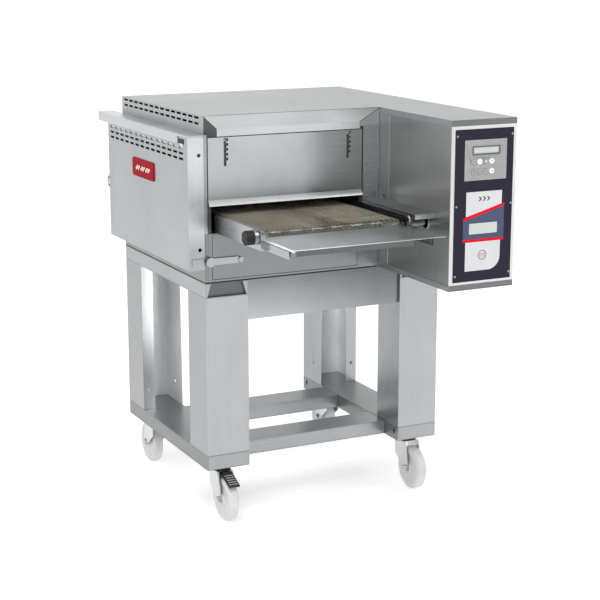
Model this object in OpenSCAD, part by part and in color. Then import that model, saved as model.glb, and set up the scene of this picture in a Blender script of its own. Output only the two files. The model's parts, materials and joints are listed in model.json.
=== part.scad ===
/* [Oven body] */
// Width of the oven body, from its left wall to the control box
body_w = 530; // [520:2:560]
// Depth of the oven body along the conveyor
body_d = 620; // [600:10:700]
// Height of the oven body and the control box
body_h = 450; // [450:5:480]
// Height of the vented hood, the top part of the body
hood_h = 50; // [46:1:56]
// Thickness of the sheet metal
sheet = 2; // [1.5:0.5:2]
// Length of the sloping visor over the front mouth
visor_reach = 90; // [70:5:110]
// Drop of the visor along its slope
visor_drop = 24; // [16:1:28]
// Height of the visor's front lip
visor_lip = 20; // [14:1:24]

/* [Side cover] */
// Thickness of the service cover on the left side
cover_t = 46; // [40:1:60]
// How far the cover's lid stands out behind the body
lid_overhang = 80; // [40:5:100]
// Length of one vent slot
vent_len = 30; // [24:1:34]
// Number of vent slots in a row
vent_count = 14; // [8:1:14]

/* [Control box] */
// Width of the control box
ctrl_w = 200; // [200:5:230]
// How far the control box stands out in front of the body
ctrl_reach = 380; // [370:5:420]
// Height of the lid rim and of the floor flange
ctrl_rim = 16; // [12:1:20]
// Diameter of a push button
key_d = 15; // [12:1:16]

/* [Hatches] */
// Width of the hatch plate over each mouth
hatch_w = 464; // [456:2:464]
// Height of the hatch plate
hatch_h = 183; // [170:1:183]
// Distance between two notches of the hatch slots
notch_pitch = 13; // [10:1:14]

/* [Conveyor] */
// Width of the wire mesh belt
belt_w = 400; // [380:5:400]
// Thickness of the belt
belt_t = 3; // [2:0.5:3]
// How far the front belt shaft stands out from the body
shaft_reach = 258; // [240:2:280]
// How far the rear belt shaft stands out from the body
rear_reach = 195; // [180:1:195]
// Radius of a belt shaft
shaft_r = 8; // [6:1:8]
// How far the shelf reaches from the body
tray_reach = 470; // [440:5:480]

/* [Stand] */
// Height of the stand, from the caster plates to the body
stand_h = 531; // [400:1:620]
// Width and depth of a leg
leg_w = 126; // [110:2:130]
// Height of the side rails
rail_h = 42; // [36:1:44]
// Height of the apron plates
apron_h = 115; // [90:5:130]

/* [Casters] */
// Diameter of a wheel
wheel_d = 125; // [118:1:130]
// Width of a wheel
wheel_w = 36; // [30:1:38]
// Height of a caster from the floor to the top of its plate
caster_h = 158; // [154:1:165]
// Trail of the wheel behind its swivel axis
trail = 42; // [36:1:46]

/* [Hidden] */
badge_t = 3;
// The gap between two plates that are folded or welded together
seam = 0.1;
x_left = (cover_t + badge_t - body_w - ctrl_w) / 2;
x_ctrl = x_left + body_w;
x_right = x_ctrl + ctrl_w;
x_cover = x_left - cover_t;
y_front = -body_d / 2;
y_panel = y_front - ctrl_reach;
z_leg = caster_h + rail_h;
z_body = caster_h + stand_h;
z_top = z_body + body_h;
z_hood = z_top - hood_h;
// The conveyor, its two shafts and its side rails
conv_x = x_left + 246;
y_shaft = y_front - shaft_reach;
y_rear = rear_reach - y_front;
z_shaft = z_body + 168;
belt_in = 12;
belt_out = belt_in + belt_t;
pulley_r = belt_in - 0.4;
rail_half = 219;
rail_low = z_body + 139;
rail_top = z_body + 189;
rail_lip = 10;
rail_end = y_front - 297;
rail_rear = y_rear + 14;
rail_boss = 15;
running = 0.05;
bar_ys = [-480, -240, 0, 240, 440];
bearing_r = 20;
// The model's middle along the belt, between the end of the shelf and the rear bearings
y_shift = (tray_reach - rear_reach - bearing_r) / 2;
bearing_t = 5;
bearing_neck = 13;
// The grip knob on the left end of the front belt shaft
knob_r = 18.5;
knob_t = 22;
knob_gap = 0.4;
sprocket_r = 24.5;
sprocket_x = x_ctrl + 20;
pulley_w = 30;
pulley_xs = [for (i = [0 : 5]) conv_x - 160 + i * 58];
motor_y = y_front - 110;
tray_screw_y = y_front - 385;
// The baking chamber inside the body
chamber_half = 228;
chamber_low = z_body + 60;
chamber_top = z_body + 340;
mouth_half = 225;
mouth_low = z_body + 135;
mouth_top = z_body + 280;
duct_half = 200;
duct_y = 280;
duct_up = z_body + 283;
duct_down = z_body + 125;
fan_z = z_body + 292;
fan_r = 88;
fan_h = 34;
fan_shaft_r = 6;
motor_r = 55;
visor_gap = 0.4;
visor_cut = 112;
// The front plates: outer plane, and the plane behind the hatches
recess = 4;
hatch_x = x_left + 12;
hatch_z = z_body + 209;
hatch_gap = 0.5;
hatch_flare = 8;
hatch_lip = 16;
slot_w = 7;
screw_z = z_body + 385;
top_screw_r = 3.5;
top_screw_t = 1.5;
top_screw_y = y_front + 46;
top_screw_xs = [for (x = [14, 266, 472, 512, 614, 716]) x_left + x];
screw_xs = [x_left + 62, x_left + 431];
strip_left = 9;
strip_right = 479;
panel_x0 = x_left + 21;
panel_x1 = x_left + 464;
// The control panel and its keys
cp_x0 = x_ctrl + 12;
cp_x1 = x_right - 10;
cp_z0 = z_body + 23;
cp_z1 = z_top - 25;
cp_t = 2;
pad_x0 = x_ctrl + 39;
pad_x1 = x_ctrl + 168;
pad_z0 = z_body + 291;
pad_z1 = z_body + 397;
pad_t = 1.5;
key_pitch = 18.6;
key_x = x_ctrl + 66;
key_rows = [z_body + 340, z_body + 314];
key_flange = 1;
key_proud = 2;
lcd = [x_ctrl + 64, z_body + 361, x_ctrl + 143, z_body + 378];
window = [x_ctrl + 59, z_body + 151, x_ctrl + 142, z_body + 176];
// The cable gland and the cooling fan in the rear wall of the control box
gland_x = x_ctrl + 60;
gland_z = z_body + 60;
gland_r = 11.6;
gland_bore = 7;
vent_fan_x = x_ctrl + 120;
vent_fan_z = z_body + 225;
vent_fan_r = 37;
// The latch beside the lower front panel
latch_x = x_left + 12;
latch_z = z_body + 59;
// The casters: swivel axes at the middle of the legs
caster_xs = [x_left + leg_w / 2, x_right - leg_w / 2];
caster_ys = [y_front + leg_w / 2, -y_front - leg_w / 2];
fork_half = wheel_w / 2 + 2;
fork_t = 3;
axle_r = 5;
// The pin and the half width of a brake pedal
pedal_pin_y = 34;
pedal_pin_z = caster_h - 25;
pedal_pin_r = 3;
pedal_half = 16;
leg_lip = 36;
// The lips beside the end plates of the top rails, and how far those plates are set back
end_lip_top = 14;
end_lip_low = 3;
end_set = 10;
leg_hole_z = z_leg + 62;
bolt_r = 5;
cross_w = 98;
cross_ys = [y_front + 80, y_front + 380];

// Sets the model along Y so that the origin is below its middle
module placed() {
    translate([0, y_shift, 0]) children();
}

// A block between two opposite corners
module block(a, b) {
    translate(a) cube(b - a);
}

// A block between two positions along X in any order, with its other sides given as [low, high]
module span_x(xa, xb, y, z) {
    block([min(xa, xb), y[0], z[0]], [max(xa, xb), y[1], z[1]]);
}

// A rod along X between two positions
module rod_x(x0, x1, y, z, r) {
    translate([x0, y, z]) rotate([0, 90, 0]) cylinder(r = r, h = x1 - x0, $fn = 48);
}

// A rod along Y between two positions
module rod_y(x, y0, y1, z, r) {
    translate([x, y0, z]) rotate([-90, 0, 0]) cylinder(r = r, h = y1 - y0, $fn = 48);
}

// A row of vent slots through a wall that faces left or right
module vent_row(x, z) {
    pitch = (body_d - 40) / vent_count;
    for (i = [0 : vent_count - 1]) {
        y = y_front + 32 + i * pitch;
        block([x - 3, y, z - 3], [x + 3, y + vent_len, z + 3]);
    }
}

// The L-shaped plate over the oven and the control box
module plan_plate(z) {
    translate([0, 0, z]) linear_extrude(sheet) polygon([
        [x_left, y_front], [x_ctrl, y_front], [x_ctrl, y_panel], [x_right, y_panel],
        [x_right, -y_front], [x_left, -y_front]
    ]);
}

// The rim round the control box: a strip along each of its four sides, between two heights
module control_rim(z0, z1) {
    y0 = y_panel + sheet + seam;
    y1 = -y_front - sheet - seam;
    block([x_ctrl, y_panel, z0], [x_right, y_panel + sheet, z1]);
    block([x_ctrl, -y_front - sheet, z0], [x_right, -y_front, z1]);
    block([x_right - sheet, y0, z0], [x_right, y1, z1]);
    block([x_ctrl, y0, z0], [x_ctrl + sheet, y_front, z1]);
}

// ---------------------------------------------------------------- stand

// A leg: a bent channel with its web outwards and a drilled lip on its outer flange
module leg(side, end) {
    color("silver") mirror([side, 0, 0]) mirror([0, end, 0]) {
        x0 = side == 0 ? x_left : -x_right;
        x1 = x0 + leg_w;
        y1 = y_front + leg_w;
        z1 = z_body - rail_h;
        difference() {
            union() {
                block([x0, y_front, z_leg], [x1, y_front + sheet, z1]);
                block([x0, y_front, z_leg], [x0 + sheet, y1, z1]);
                block([x1 - sheet, y_front, z_leg], [x1, y1, z1]);
                block([x0, y1 - sheet, z_leg], [x0 + leg_lip, y1, z1]);
            }
            rod_y(x0 + leg_lip / 2, y1 - 6, y1 + 4, leg_hole_z, bolt_r);
            rod_x(x1 - 6, x1 + 4, y1 - 55, leg_hole_z, bolt_r);
        }
    }
}

// A hollow rail between two corners, from six plates
module box_rail(a, b) {
    inner = sheet + seam;
    for (z = [a[2], b[2] - sheet]) block([a[0], a[1], z], [b[0], b[1], z + sheet]);
    for (x = [a[0], b[0] - sheet]) block([x, a[1], a[2] + inner], [x + sheet, b[1], b[2] - inner]);
    for (y = [a[1], b[1] - sheet])
        block([a[0] + inner, y, a[2] + inner], [b[0] - inner, y + sheet, b[2] - inner]);
}

// The side rails have a small slot near each end of their inner sides
module lower_frame() {
    color("silver") {
        difference() {
            for (x0 = [x_left, x_right - leg_w])
                box_rail([x0, y_front, caster_h], [x0 + leg_w, -y_front, z_leg]);
            for (x = [x_left + leg_w, x_right - leg_w], s = [0, 1]) mirror([0, s, 0])
                block([x - 3, y_front + 19, caster_h + 18], [x + 3, y_front + 27, caster_h + 32]);
        }
        for (y0 = cross_ys)
            box_rail([x_left + leg_w + seam, y0, caster_h + 1],
                     [x_right - leg_w - seam, y0 + cross_w, z_leg - 1]);
    }
}

// A lip beside the end plate of a top rail, wider at its top; drawn about the middle of the rail
module end_lip() {
    inner = sheet + seam;
    x = leg_w / 2 - inner;
    z0 = z_body - rail_h + inner;
    z1 = z_body - inner;
    rotate([90, 0, 0]) translate([0, 0, seam - end_set]) linear_extrude(end_set - seam)
        polygon([[x, z0], [x, z1], [x - end_lip_top, z1], [x - end_lip_low, z0]]);
}

// A top side rail: plates on four sides, with a plate set back between two lips at each end
module top_rail(x0) {
    inner = sheet + seam;
    z0 = z_body - rail_h;
    x1 = x0 + leg_w;
    for (z = [z0, z_body - sheet]) block([x0, y_front, z], [x1, -y_front, z + sheet]);
    for (x = [x0, x1 - sheet]) block([x, y_front, z0 + inner], [x + sheet, -y_front, z_body - inner]);
    for (s = [0, 1]) mirror([0, s, 0]) {
        translate([(x0 + x1) / 2, y_front, 0]) for (k = [0, 1]) mirror([k, 0, 0]) end_lip();
        block([x0 + inner, y_front + end_set, z0 + inner],
              [x1 - inner, y_front + end_set + sheet, z_body - inner]);
    }
}

module upper_frame() {
    color("silver") {
        top_rail(x_left);
        top_rail(x_right - leg_w);
        for (s = [0, 1]) mirror([0, s, 0])
            block([x_left + leg_w + seam, y_front + end_set, z_body - apron_h],
                  [x_right - leg_w - seam, y_front + end_set + sheet, z_body]);
    }
}

module caster_plates() {
    color("gainsboro")
    for (x = caster_xs, y = caster_ys) {
        block([x - 48, y - 35, caster_h - 4], [x + 48, y + 35, caster_h]);
        translate([x, y, caster_h - 12]) cylinder(r = 24, h = 8, $fn = 64);
    }
}

// Sets a part of a caster at its swivel axis; the rear casters trail to the rear
module at_caster(i, j) {
    translate([caster_xs[i], caster_ys[j], 0]) mirror([0, j, 0]) children();
}

// A swivel fork with its axle; the forks at two opposite corners also hold the pin of a brake pedal
module fork(i, j) {
    outer = fork_half + fork_t;
    color("gainsboro") at_caster(i, j) {
        translate([0, 0, caster_h - 18]) cylinder(r = 28, h = 5.6, $fn = 64);
        block([-outer, -24, caster_h - 22], [outer, 22, caster_h - 18]);
        for (x = [-outer, fork_half]) translate([x, 0, 0]) rotate([90, 0, 90]) linear_extrude(fork_t) {
            polygon([
                [22, caster_h - 18], [-38, caster_h - 18], [-pedal_pin_y - 8, caster_h - 26],
                [-trail - 13, wheel_d / 2 + 2], [-trail + 11, wheel_d / 2 - 8], [22, wheel_d / 2 + 34]
            ]);
            translate([-trail, wheel_d / 2]) circle(r = 13, $fn = 48);
        }
        rod_x(-outer - 4, outer + 4, -trail, wheel_d / 2, axle_r);
        if (i == j) rod_x(-outer - 1, outer + 1, -pedal_pin_y, pedal_pin_z, pedal_pin_r);
    }
}

module wheel(i, j) {
    color("white") at_caster(i, j)
    translate([0, -trail, wheel_d / 2]) rotate([0, 90, 0]) rotate_extrude($fn = 96) difference() {
        union() {
            translate([axle_r + running, -wheel_w / 2]) square([wheel_d / 2 - 8 - axle_r - running, wheel_w]);
            translate([wheel_d / 2 - 9, -wheel_w / 2 + 4]) square([9, wheel_w - 8]);
        }
        for (s = [0, 1]) mirror([0, s]) translate([16, wheel_w / 2 - 5]) square([wheel_d / 2 - 32, 6]);
    }
}

// A brake pedal on its pin, with a shoe that comes down on the wheel
module brake(i, j) {
    color("dimgray") at_caster(i, j)
    translate([-pedal_half, 0, caster_h]) rotate([90, 0, 90]) linear_extrude(2 * pedal_half) difference() {
        union() {
            translate([-pedal_pin_y, pedal_pin_z - caster_h]) circle(r = 7, $fn = 48);
            polygon([[-34, -18], [-52, -19], [-103, -42], [-101, -46], [-52, -24], [-34, -27]]);
            polygon([[-49, -21.5], [-50, -30.3], [-57, -30.7], [-58, -23.5]]);
        }
        translate([-pedal_pin_y, pedal_pin_z - caster_h]) circle(r = pedal_pin_r + running, $fn = 48);
    }
}

// ---------------------------------------------------------------- oven body

// The strips of sheet beside the hatch, and the ring round the lower panel
module front_frame() {
    z0 = z_body + sheet + seam;
    y1 = y_front + sheet;
    block([x_left + sheet + seam, y_front, z0], [x_left + strip_left, y1, z_hood]);
    block([x_left + strip_right, y_front, z0], [x_ctrl - sheet - seam, y1, z_hood]);
    difference() {
        block([x_left + strip_left + seam, y_front, z0], [x_left + strip_right - seam, y1, mouth_low]);
        block([panel_x0, y_front - 1, z_body + 8], [panel_x1, y_front + 3, z_body + 132]);
    }
}

module body_casing() {
    z0 = z_body + sheet + seam;
    color("silver") {
        block([x_left, y_front, z_body], [x_ctrl, -y_front, z_body + sheet]);
        block([x_left, y_front, z0], [x_left + sheet, -y_front, z_hood]);
        block([x_ctrl - sheet, y_front, z0], [x_ctrl, -y_front, z_top - sheet]);
        for (s = [0, 1]) mirror([0, s, 0]) {
            front_frame();
            lower_panel();
        }
    }
}

// The removable panel below each mouth, with its folded edges
module lower_panel() {
    difference() {
        block([panel_x0 + 1, y_front, z_body + 9], [panel_x1 - 1, y_front + 3.5, z_body + 131]);
        block([panel_x0 + 1 + sheet, y_front + 1.5, z_body + 9 + sheet],
              [panel_x1 - 1 - sheet, y_front + 5, z_body + 131 - sheet]);
    }
}

// The inner plate with the mouth of the tunnel
module fascia() {
    difference() {
        block([x_left + sheet, y_front + recess, z_body + sheet],
              [x_ctrl - sheet, y_front + recess + sheet, z_hood]);
        block([conv_x - mouth_half, y_front, mouth_low], [conv_x + mouth_half, y_front + 9, mouth_top]);
    }
}

module front_fascia() {
    color("lightgray") fascia();
}

module rear_fascia() {
    color("lightgray") mirror([0, 1, 0]) fascia();
}

module chamber_liner() {
    x0 = conv_x - chamber_half;
    x1 = conv_x + chamber_half;
    y1 = body_d / 2 - recess - sheet;
    color("darkgray")
    difference() {
        block([x0 - sheet, -y1, chamber_low - sheet], [x1 + sheet, y1, chamber_top]);
        block([x0, -y1 - 1, chamber_low], [x1, y1 + 1, chamber_top - sheet]);
        translate([conv_x, 0, chamber_top - 6]) cylinder(r = fan_shaft_r + 2, h = 12, $fn = 48);
    }
}

module insulation() {
    y1 = body_d / 2 - 8;
    x0 = x_left + sheet + 1;
    x1 = x_ctrl - sheet - 1;
    color("khaki") {
        difference() {
            block([x0, -y1, chamber_top + 1], [x1, y1, chamber_top + 40]);
            translate([conv_x, 0, chamber_top]) cylinder(r = motor_r + 5, h = 60, $fn = 96);
        }
        block([x0, -y1, z_body + 4], [x1, y1, chamber_low - sheet - 1]);
        block([x0, -y1, chamber_low], [conv_x - chamber_half - sheet - 1, y1, chamber_top]);
        block([conv_x + chamber_half + sheet + 1, -y1, chamber_low], [x1, y1, chamber_top]);
    }
}

module top_cover() {
    z1 = z_top - sheet - seam;
    color("silver") {
        difference() {
            plan_plate(z_top - sheet);
            for (x = top_screw_xs)
                translate([x, top_screw_y, z_top - top_screw_t])
                    cylinder(r = top_screw_r + running, h = 5, $fn = 36);
        }
        difference() {
            block([x_left, y_front, z_hood], [x_left + sheet, -y_front, z1]);
            vent_row(x_left, z_top - 7.5);
            vent_row(x_left, z_top - 23);
        }
        for (s = [0, 1]) mirror([0, s, 0])
            block([x_left + sheet + seam, y_front + recess, z_hood],
                  [x_ctrl - sheet, y_front + recess + sheet, z1]);
        control_rim(z_top - ctrl_rim, z1);
    }
}

// The sloping visor, with a lip along its front, a gusset at its left end and its right corner cut away
module visor() {
    y0 = y_front - visor_gap;
    y1 = y_front - visor_reach;
    z1 = z_top - visor_drop;
    color("silver") {
        difference() {
            translate([x_left, 0, 0]) rotate([90, 0, 90]) linear_extrude(body_w - visor_gap) polygon([
                [y0, z_top], [y1, z1], [y1, z1 - visor_lip], [y1 + sheet, z1 - visor_lip],
                [y1 + sheet, z1 - sheet], [y0, z_top - sheet]
            ]);
            translate([0, 0, z1 - visor_lip - 1]) linear_extrude(visor_lip + visor_drop + 2)
                polygon([[x_ctrl, y0], [x_ctrl + 1, y1 - 1], [x_ctrl - visor_cut, y1 - 1]]);
        }
        translate([x_left, 0, 0]) rotate([90, 0, 90]) linear_extrude(sheet)
            polygon([[y0, z_hood + 1], [y0, z_top], [y1, z1], [y1, z1 - visor_lip]]);
    }
}

// The service cover, with a keeper plate that the latch bar's knob stands beside
module side_cover() {
    z0 = z_body + 37;
    z1 = z_hood - 5;
    color("silver") {
        block([x_left - 38, y_front - 3, latch_z - 10], [x_left - 2, y_front + 1, latch_z + 10]);
        cover_box(z0, z1);
    }
}

module cover_box(z0, z1) {
    difference() {
        block([x_cover, y_front, z0], [x_left, -y_front, z1]);
        block([x_cover + sheet, y_front + sheet, z0 + sheet], [x_left + 1, -y_front - sheet, z1 + 1]);
        vent_row(x_cover, z_body + 365);
        vent_row(x_cover, z_body + 350);
        vent_row(x_cover, z_body + 335);
        for (z = [z_body + 347, z_body + 93]) rod_y(x_left - 14, y_front - 5, y_front + 5, z, 5);
        block([x_cover - 1, y_front + 26, z_body + 376], [x_cover + 5, y_front + 60, z_body + 388]);
    }
}

// The lid of the side cover, with a rim along its outer edge
module side_cover_lid() {
    z1 = z_hood;
    color("silver") {
        block([x_cover - sheet, y_front, z1 - 5], [x_left - 0.3, -y_front + lid_overhang, z1]);
        block([x_cover - sheet, y_front + 66, z1 - 26], [x_cover - 0.2, -y_front + lid_overhang, z1 - 5]);
        block([x_cover - 0.2, -y_front + lid_overhang - sheet, z1 - 26],
              [x_left - 0.3, -y_front + lid_overhang, z1 - 5]);
    }
}

module badge() {
    color("crimson")
    translate([x_cover, 0, 0]) rotate([90, 0, -90]) linear_extrude(badge_t)
    translate([-y_front - 411, z_body + 246])
    union() {
        translate([8, 0]) square([150, 52]);
        translate([0, 8]) square([166, 36]);
        for (x = [8, 158], y = [8, 44]) translate([x, y]) circle(r = 8, $fn = 48);
    }
}

// A hatch plate with two notched slots and a flared bottom edge
module hatch() {
    y0 = y_front + hatch_gap;
    difference() {
        block([hatch_x, y0, hatch_z + hatch_lip], [hatch_x + hatch_w, y0 + sheet, hatch_z + hatch_h]);
        for (x = screw_xs) {
            block([x - slot_w / 2, y0 - 1, screw_z - 70], [x + slot_w / 2, y0 + 3, screw_z + 3.5]);
            for (i = [0 : 4]) block([x, y0 - 1, screw_z - 3.5 - i * notch_pitch],
                                    [x + 9, y0 + 3, screw_z + 3.5 - i * notch_pitch]);
        }
    }
    translate([hatch_x, 0, 0]) rotate([90, 0, 90]) linear_extrude(hatch_w) polygon([
        [y0, hatch_z + hatch_lip], [y0 + sheet, hatch_z + hatch_lip],
        [y0 + sheet - hatch_flare, hatch_z], [y0 - hatch_flare, hatch_z]
    ]);
}

module front_hatch() {
    color("silver") hatch();
}

module rear_hatch() {
    color("silver") mirror([0, 1, 0]) hatch();
}

// A quarter-turn knob with a bar that reaches over the lower panel
module panel_latch() {
    color("lightgray") {
        rod_y(latch_x, y_front - 14, y_front - 0.3, latch_z, 13);
        block([latch_x + 10, y_front - 6, latch_z - 9], [latch_x + 84, y_front - 3, latch_z + 9]);
        rod_y(latch_x + 90, y_front - 9, y_front - 3, latch_z, 7);
        block([latch_x + 80, y_front - 6, latch_z - 4], [latch_x + 90, y_front - 3, latch_z + 4]);
    }
}

// ---------------------------------------------------------------- control box

// The floor of the control box, with its rim standing up round it
module control_floor() {
    color("silver") {
        block([x_ctrl, y_panel, z_body], [x_right, -y_front, z_body + sheet]);
        control_rim(z_body + sheet + seam, z_body + ctrl_rim);
    }
}

// The walls of the control box; the left one is a ring behind the side panel
module control_housing() {
    z0 = z_body + ctrl_rim;
    z1 = z_top - ctrl_rim;
    y0 = y_panel + sheet + seam;
    y1 = y_front - 0.2;
    color("gainsboro") {
        difference() {
            block([x_ctrl, y_panel, z0], [x_right, y_panel + sheet, z1]);
            block([cp_x0 + 12, y_panel - 1, cp_z0 + 12], [cp_x1 - 12, y_panel + 3, cp_z1 - 12]);
        }
        difference() {
            block([x_right - sheet, y0, z0], [x_right, -y_front - sheet - seam, z1]);
            for (y = [-y_front - 260 : 24 : -y_front - 60], z = [z_body + 90, z_body + 330])
                block([x_right - 3, y, z - 20], [x_right + 1, y + 8, z + 20]);
        }
        difference() {
            block([x_ctrl, -y_front - sheet, z0], [x_right, -y_front, z1]);
            rod_y(gland_x, -y_front - 6, -y_front + 6, gland_z, gland_r + 0.4);
            rod_y(vent_fan_x, -y_front - 6, -y_front + 6, vent_fan_z, vent_fan_r + 1);
        }
        difference() {
            union() {
                block([x_ctrl, y_front - 56, z0], [x_ctrl + sheet, y1, z1]);
                block([x_ctrl + sheet, y0, z0], [x_ctrl + 2 * sheet, y1, z1]);
            }
            block([x_ctrl - 1, y_panel + 24, z0 + 20], [x_ctrl + 8, y_front - 76, z1 - 20]);
            rod_x(x_ctrl - 3, x_ctrl + 7, y_front - 28, z_body + 205, 5);
        }
    }
}

module control_side_panel() {
    color("lightgray")
    difference() {
        union() {
            block([x_ctrl, y_panel + sheet + 0.2, z_body + ctrl_rim + 0.5],
                  [x_ctrl + sheet - 0.2, y_front - 57, z_top - ctrl_rim - 0.5]);
            rod_x(x_ctrl - 2, x_ctrl + 1, y_shaft, z_shaft, 19);
        }
        rod_x(x_ctrl - 5, x_ctrl + 5, y_shaft, z_shaft, 16);
    }
}

module control_panel() {
    color("darkslateblue")
    difference() {
        block([cp_x0, y_panel - cp_t, cp_z0], [cp_x1, y_panel, cp_z1]);
        block([pad_x0 + 8, y_panel - 5, pad_z0 + 8], [pad_x1 - 8, y_panel + 1, pad_z1 - 8]);
    }
}

function key_pos(n) = [key_x + (n % 4) * key_pitch, key_rows[floor(n / 4)]];

module keypad() {
    y0 = y_panel - cp_t - pad_t;
    color("darkgray")
    difference() {
        union() {
            block([pad_x0, y0, pad_z0], [pad_x1, y0 + pad_t, pad_z1]);
            block([lcd[0] - 4, y0 - 1.5, lcd[1] - 4], [lcd[2] + 4, y0 + 0.5, lcd[3] + 4]);
        }
        block([lcd[0], y0 - 3, lcd[1]], [lcd[2], y0 + 4, lcd[3]]);
        for (n = [0 : 7]) rod_y(key_pos(n)[0], y0 - 3, y0 + 4, key_pos(n)[1], key_d / 2 + 0.4);
    }
}

module displays() {
    y0 = y_panel - cp_t - pad_t;
    color("whitesmoke") {
        block([lcd[0] + 0.2, y0 - 0.5, lcd[1] + 0.2], [lcd[2] - 0.2, y0 + pad_t, lcd[3] - 0.2]);
        block([window[0], y_panel - cp_t - 1, window[1]], [window[2], y_panel - cp_t, window[3]]);
    }
}

// A round push button with a retaining flange behind the keypad
module key(n) {
    y0 = y_panel - cp_t - pad_t;
    color("whitesmoke") {
        rod_y(key_pos(n)[0], y0 - key_proud, y0 + pad_t + key_flange / 2, key_pos(n)[1], key_d / 2);
        rod_y(key_pos(n)[0], y0 + pad_t + 0.1, y0 + pad_t + key_flange, key_pos(n)[1], key_d / 2 + 1.2);
    }
}

// Circuit board, contactors, transformer, the fan's frame and the cable gland
module electronics() {
    z0 = z_body + sheet;
    color("darkgreen") {
        block([x_ctrl + 40, y_panel + 24, z_body + 276], [x_ctrl + 160, y_panel + 26, z_body + 406]);
        for (x = [x_ctrl + 50, x_ctrl + 146], z = [z_body + 284, z_body + 398])
            rod_y(x, y_panel, y_panel + 24.5, z, 4);
        block([x_right - 60, -100, z_body + 120], [x_right - 4, 120, z_body + 124]);
        for (y = [-90 : 50 : 60])
            block([x_right - 56, y, z_body + 124], [x_right - 8, y + 40, z_body + 190]);
        block([x_right - 60, -100, z0], [x_right - 56, 120, z_body + 120]);
        block([x_right - 110, -200, z0], [x_right - 30, -120, z_body + 90]);
    }
    color("black") {
        difference() {
            block([vent_fan_x - 40, -y_front - sheet - 26, vent_fan_z - 40],
                  [vent_fan_x + 40, -y_front - sheet, vent_fan_z + 40]);
            rod_y(vent_fan_x, -y_front - 40, -y_front, vent_fan_z, vent_fan_r);
        }
        difference() {
            union() {
                rod_y(gland_x, -y_front - 16, -y_front + 14, gland_z, gland_r);
                rod_y(gland_x, -y_front, -y_front + 8, gland_z, 17);
            }
            rod_y(gland_x, -y_front - 20, -y_front + 20, gland_z, gland_bore);
        }
    }
}

// The cooling fan's rotor: a hub and seven blades
module cooling_fan() {
    color("dimgray")
    translate([vent_fan_x, -y_front - sheet - 22, vent_fan_z]) rotate([-90, 0, 0]) {
        cylinder(r = 15, h = 18, $fn = 48);
        for (i = [0 : 6]) rotate([0, 0, i * 360 / 7]) translate([13, -1, 9]) rotate([40, 0, 0])
            translate([0, 0, -8]) cube([20, 1.5, 16]);
    }
}

module gearmotor() {
    y = motor_y;
    color("slategray") {
        difference() {
            block([x_ctrl + 46, y - 38, z_shaft - 45], [x_ctrl + 116, y + 38, z_shaft + 45]);
            rod_x(x_ctrl + 40, x_ctrl + 90, y, z_shaft, shaft_r + running);
        }
        translate([x_ctrl + 81, y, z_shaft + 45]) cylinder(r = 34, h = 130, $fn = 72);
        block([x_ctrl + 60, y - 30, z_body + sheet], [x_ctrl + 64, y + 30, z_shaft - 45]);
        block([x_ctrl + 98, y - 30, z_body + sheet], [x_ctrl + 102, y + 30, z_shaft - 45]);
    }
}

// A chain sprocket on the X axis, with square-cut teeth
module sprocket(y) {
    teeth = 16;
    translate([sprocket_x, y, z_shaft]) rotate([0, 90, 0]) {
        cylinder(r = sprocket_r - 4, h = 5, $fn = 64);
        for (i = [0 : teeth - 1]) rotate([0, 0, i * 360 / teeth])
            translate([sprocket_r - 6, -2, 0]) cube([5.5, 4, 5]);
    }
}

module motor_sprocket() {
    color("dimgray") {
        rod_x(sprocket_x - 6, x_ctrl + 88, motor_y, z_shaft, shaft_r);
        sprocket(motor_y);
    }
}

// The roller chain, as a closed loop round the two sprockets
module drive_chain() {
    x0 = sprocket_x - 1;
    color("gray")
    translate([x0, 0, 0]) rotate([90, 0, 90]) linear_extrude(7) difference() {
        loop_outline(y_shaft, motor_y, sprocket_r + 4);
        loop_outline(y_shaft, motor_y, sprocket_r + 0.6);
    }
}

// The outline of a loop round two equal circles, seen from the side
module loop_outline(y0, y1, r) {
    for (y = [y0, y1]) translate([y, z_shaft]) circle(r = r, $fn = 96);
    translate([min(y0, y1), z_shaft - r]) square([abs(y1 - y0), 2 * r]);
}

// ---------------------------------------------------------------- conveyor

// A shaft bearing with its collar outside the web of the right rail, drawn from the outer face of the web
module bearing() {
    rotate([0, 90, 0]) difference() {
        union() {
            translate([0, 0, seam]) cylinder(r = bearing_r, h = bearing_t - seam, $fn = 48);
            translate([0, 0, -9]) cylinder(r = bearing_neck, h = 10, $fn = 48);
        }
        translate([0, 0, -10]) cylinder(r = shaft_r + running, h = 20, $fn = 48);
    }
}

// One side rail with its bearings, lips, end plates and the arm of the shelf; side is -1 left or 1 right
module conveyor_rail(side) {
    x = conv_x + side * rail_half;
    xi = x - side * sheet;
    xs = xi - side * seam;
    xe = x - side * rail_boss;
    difference() {
        span_x(x, xi, [rail_end, rail_rear], [rail_low, rail_top]);
        for (y = [y_shaft, y_rear]) rod_x(x - 4, x + 4, y, z_shaft, bearing_neck + seam);
    }
    for (y = [y_shaft, y_rear]) translate([x, y, z_shaft]) mirror([side < 0 ? 1 : 0, 0, 0]) bearing();
    for (z = [rail_low, rail_top - sheet])
        span_x(xs, x - side * rail_lip, [rail_end, rail_rear], [z, z + sheet]);
    for (y = [rail_end, rail_rear - sheet])
        span_x(xs, xe, [y, y + sheet], [rail_low + sheet + seam, rail_top - 10]);
    span_x(xe, xe + side * sheet, [y_front - 430, rail_end - seam], [z_body + 140, z_body + 160]);
}

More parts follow.
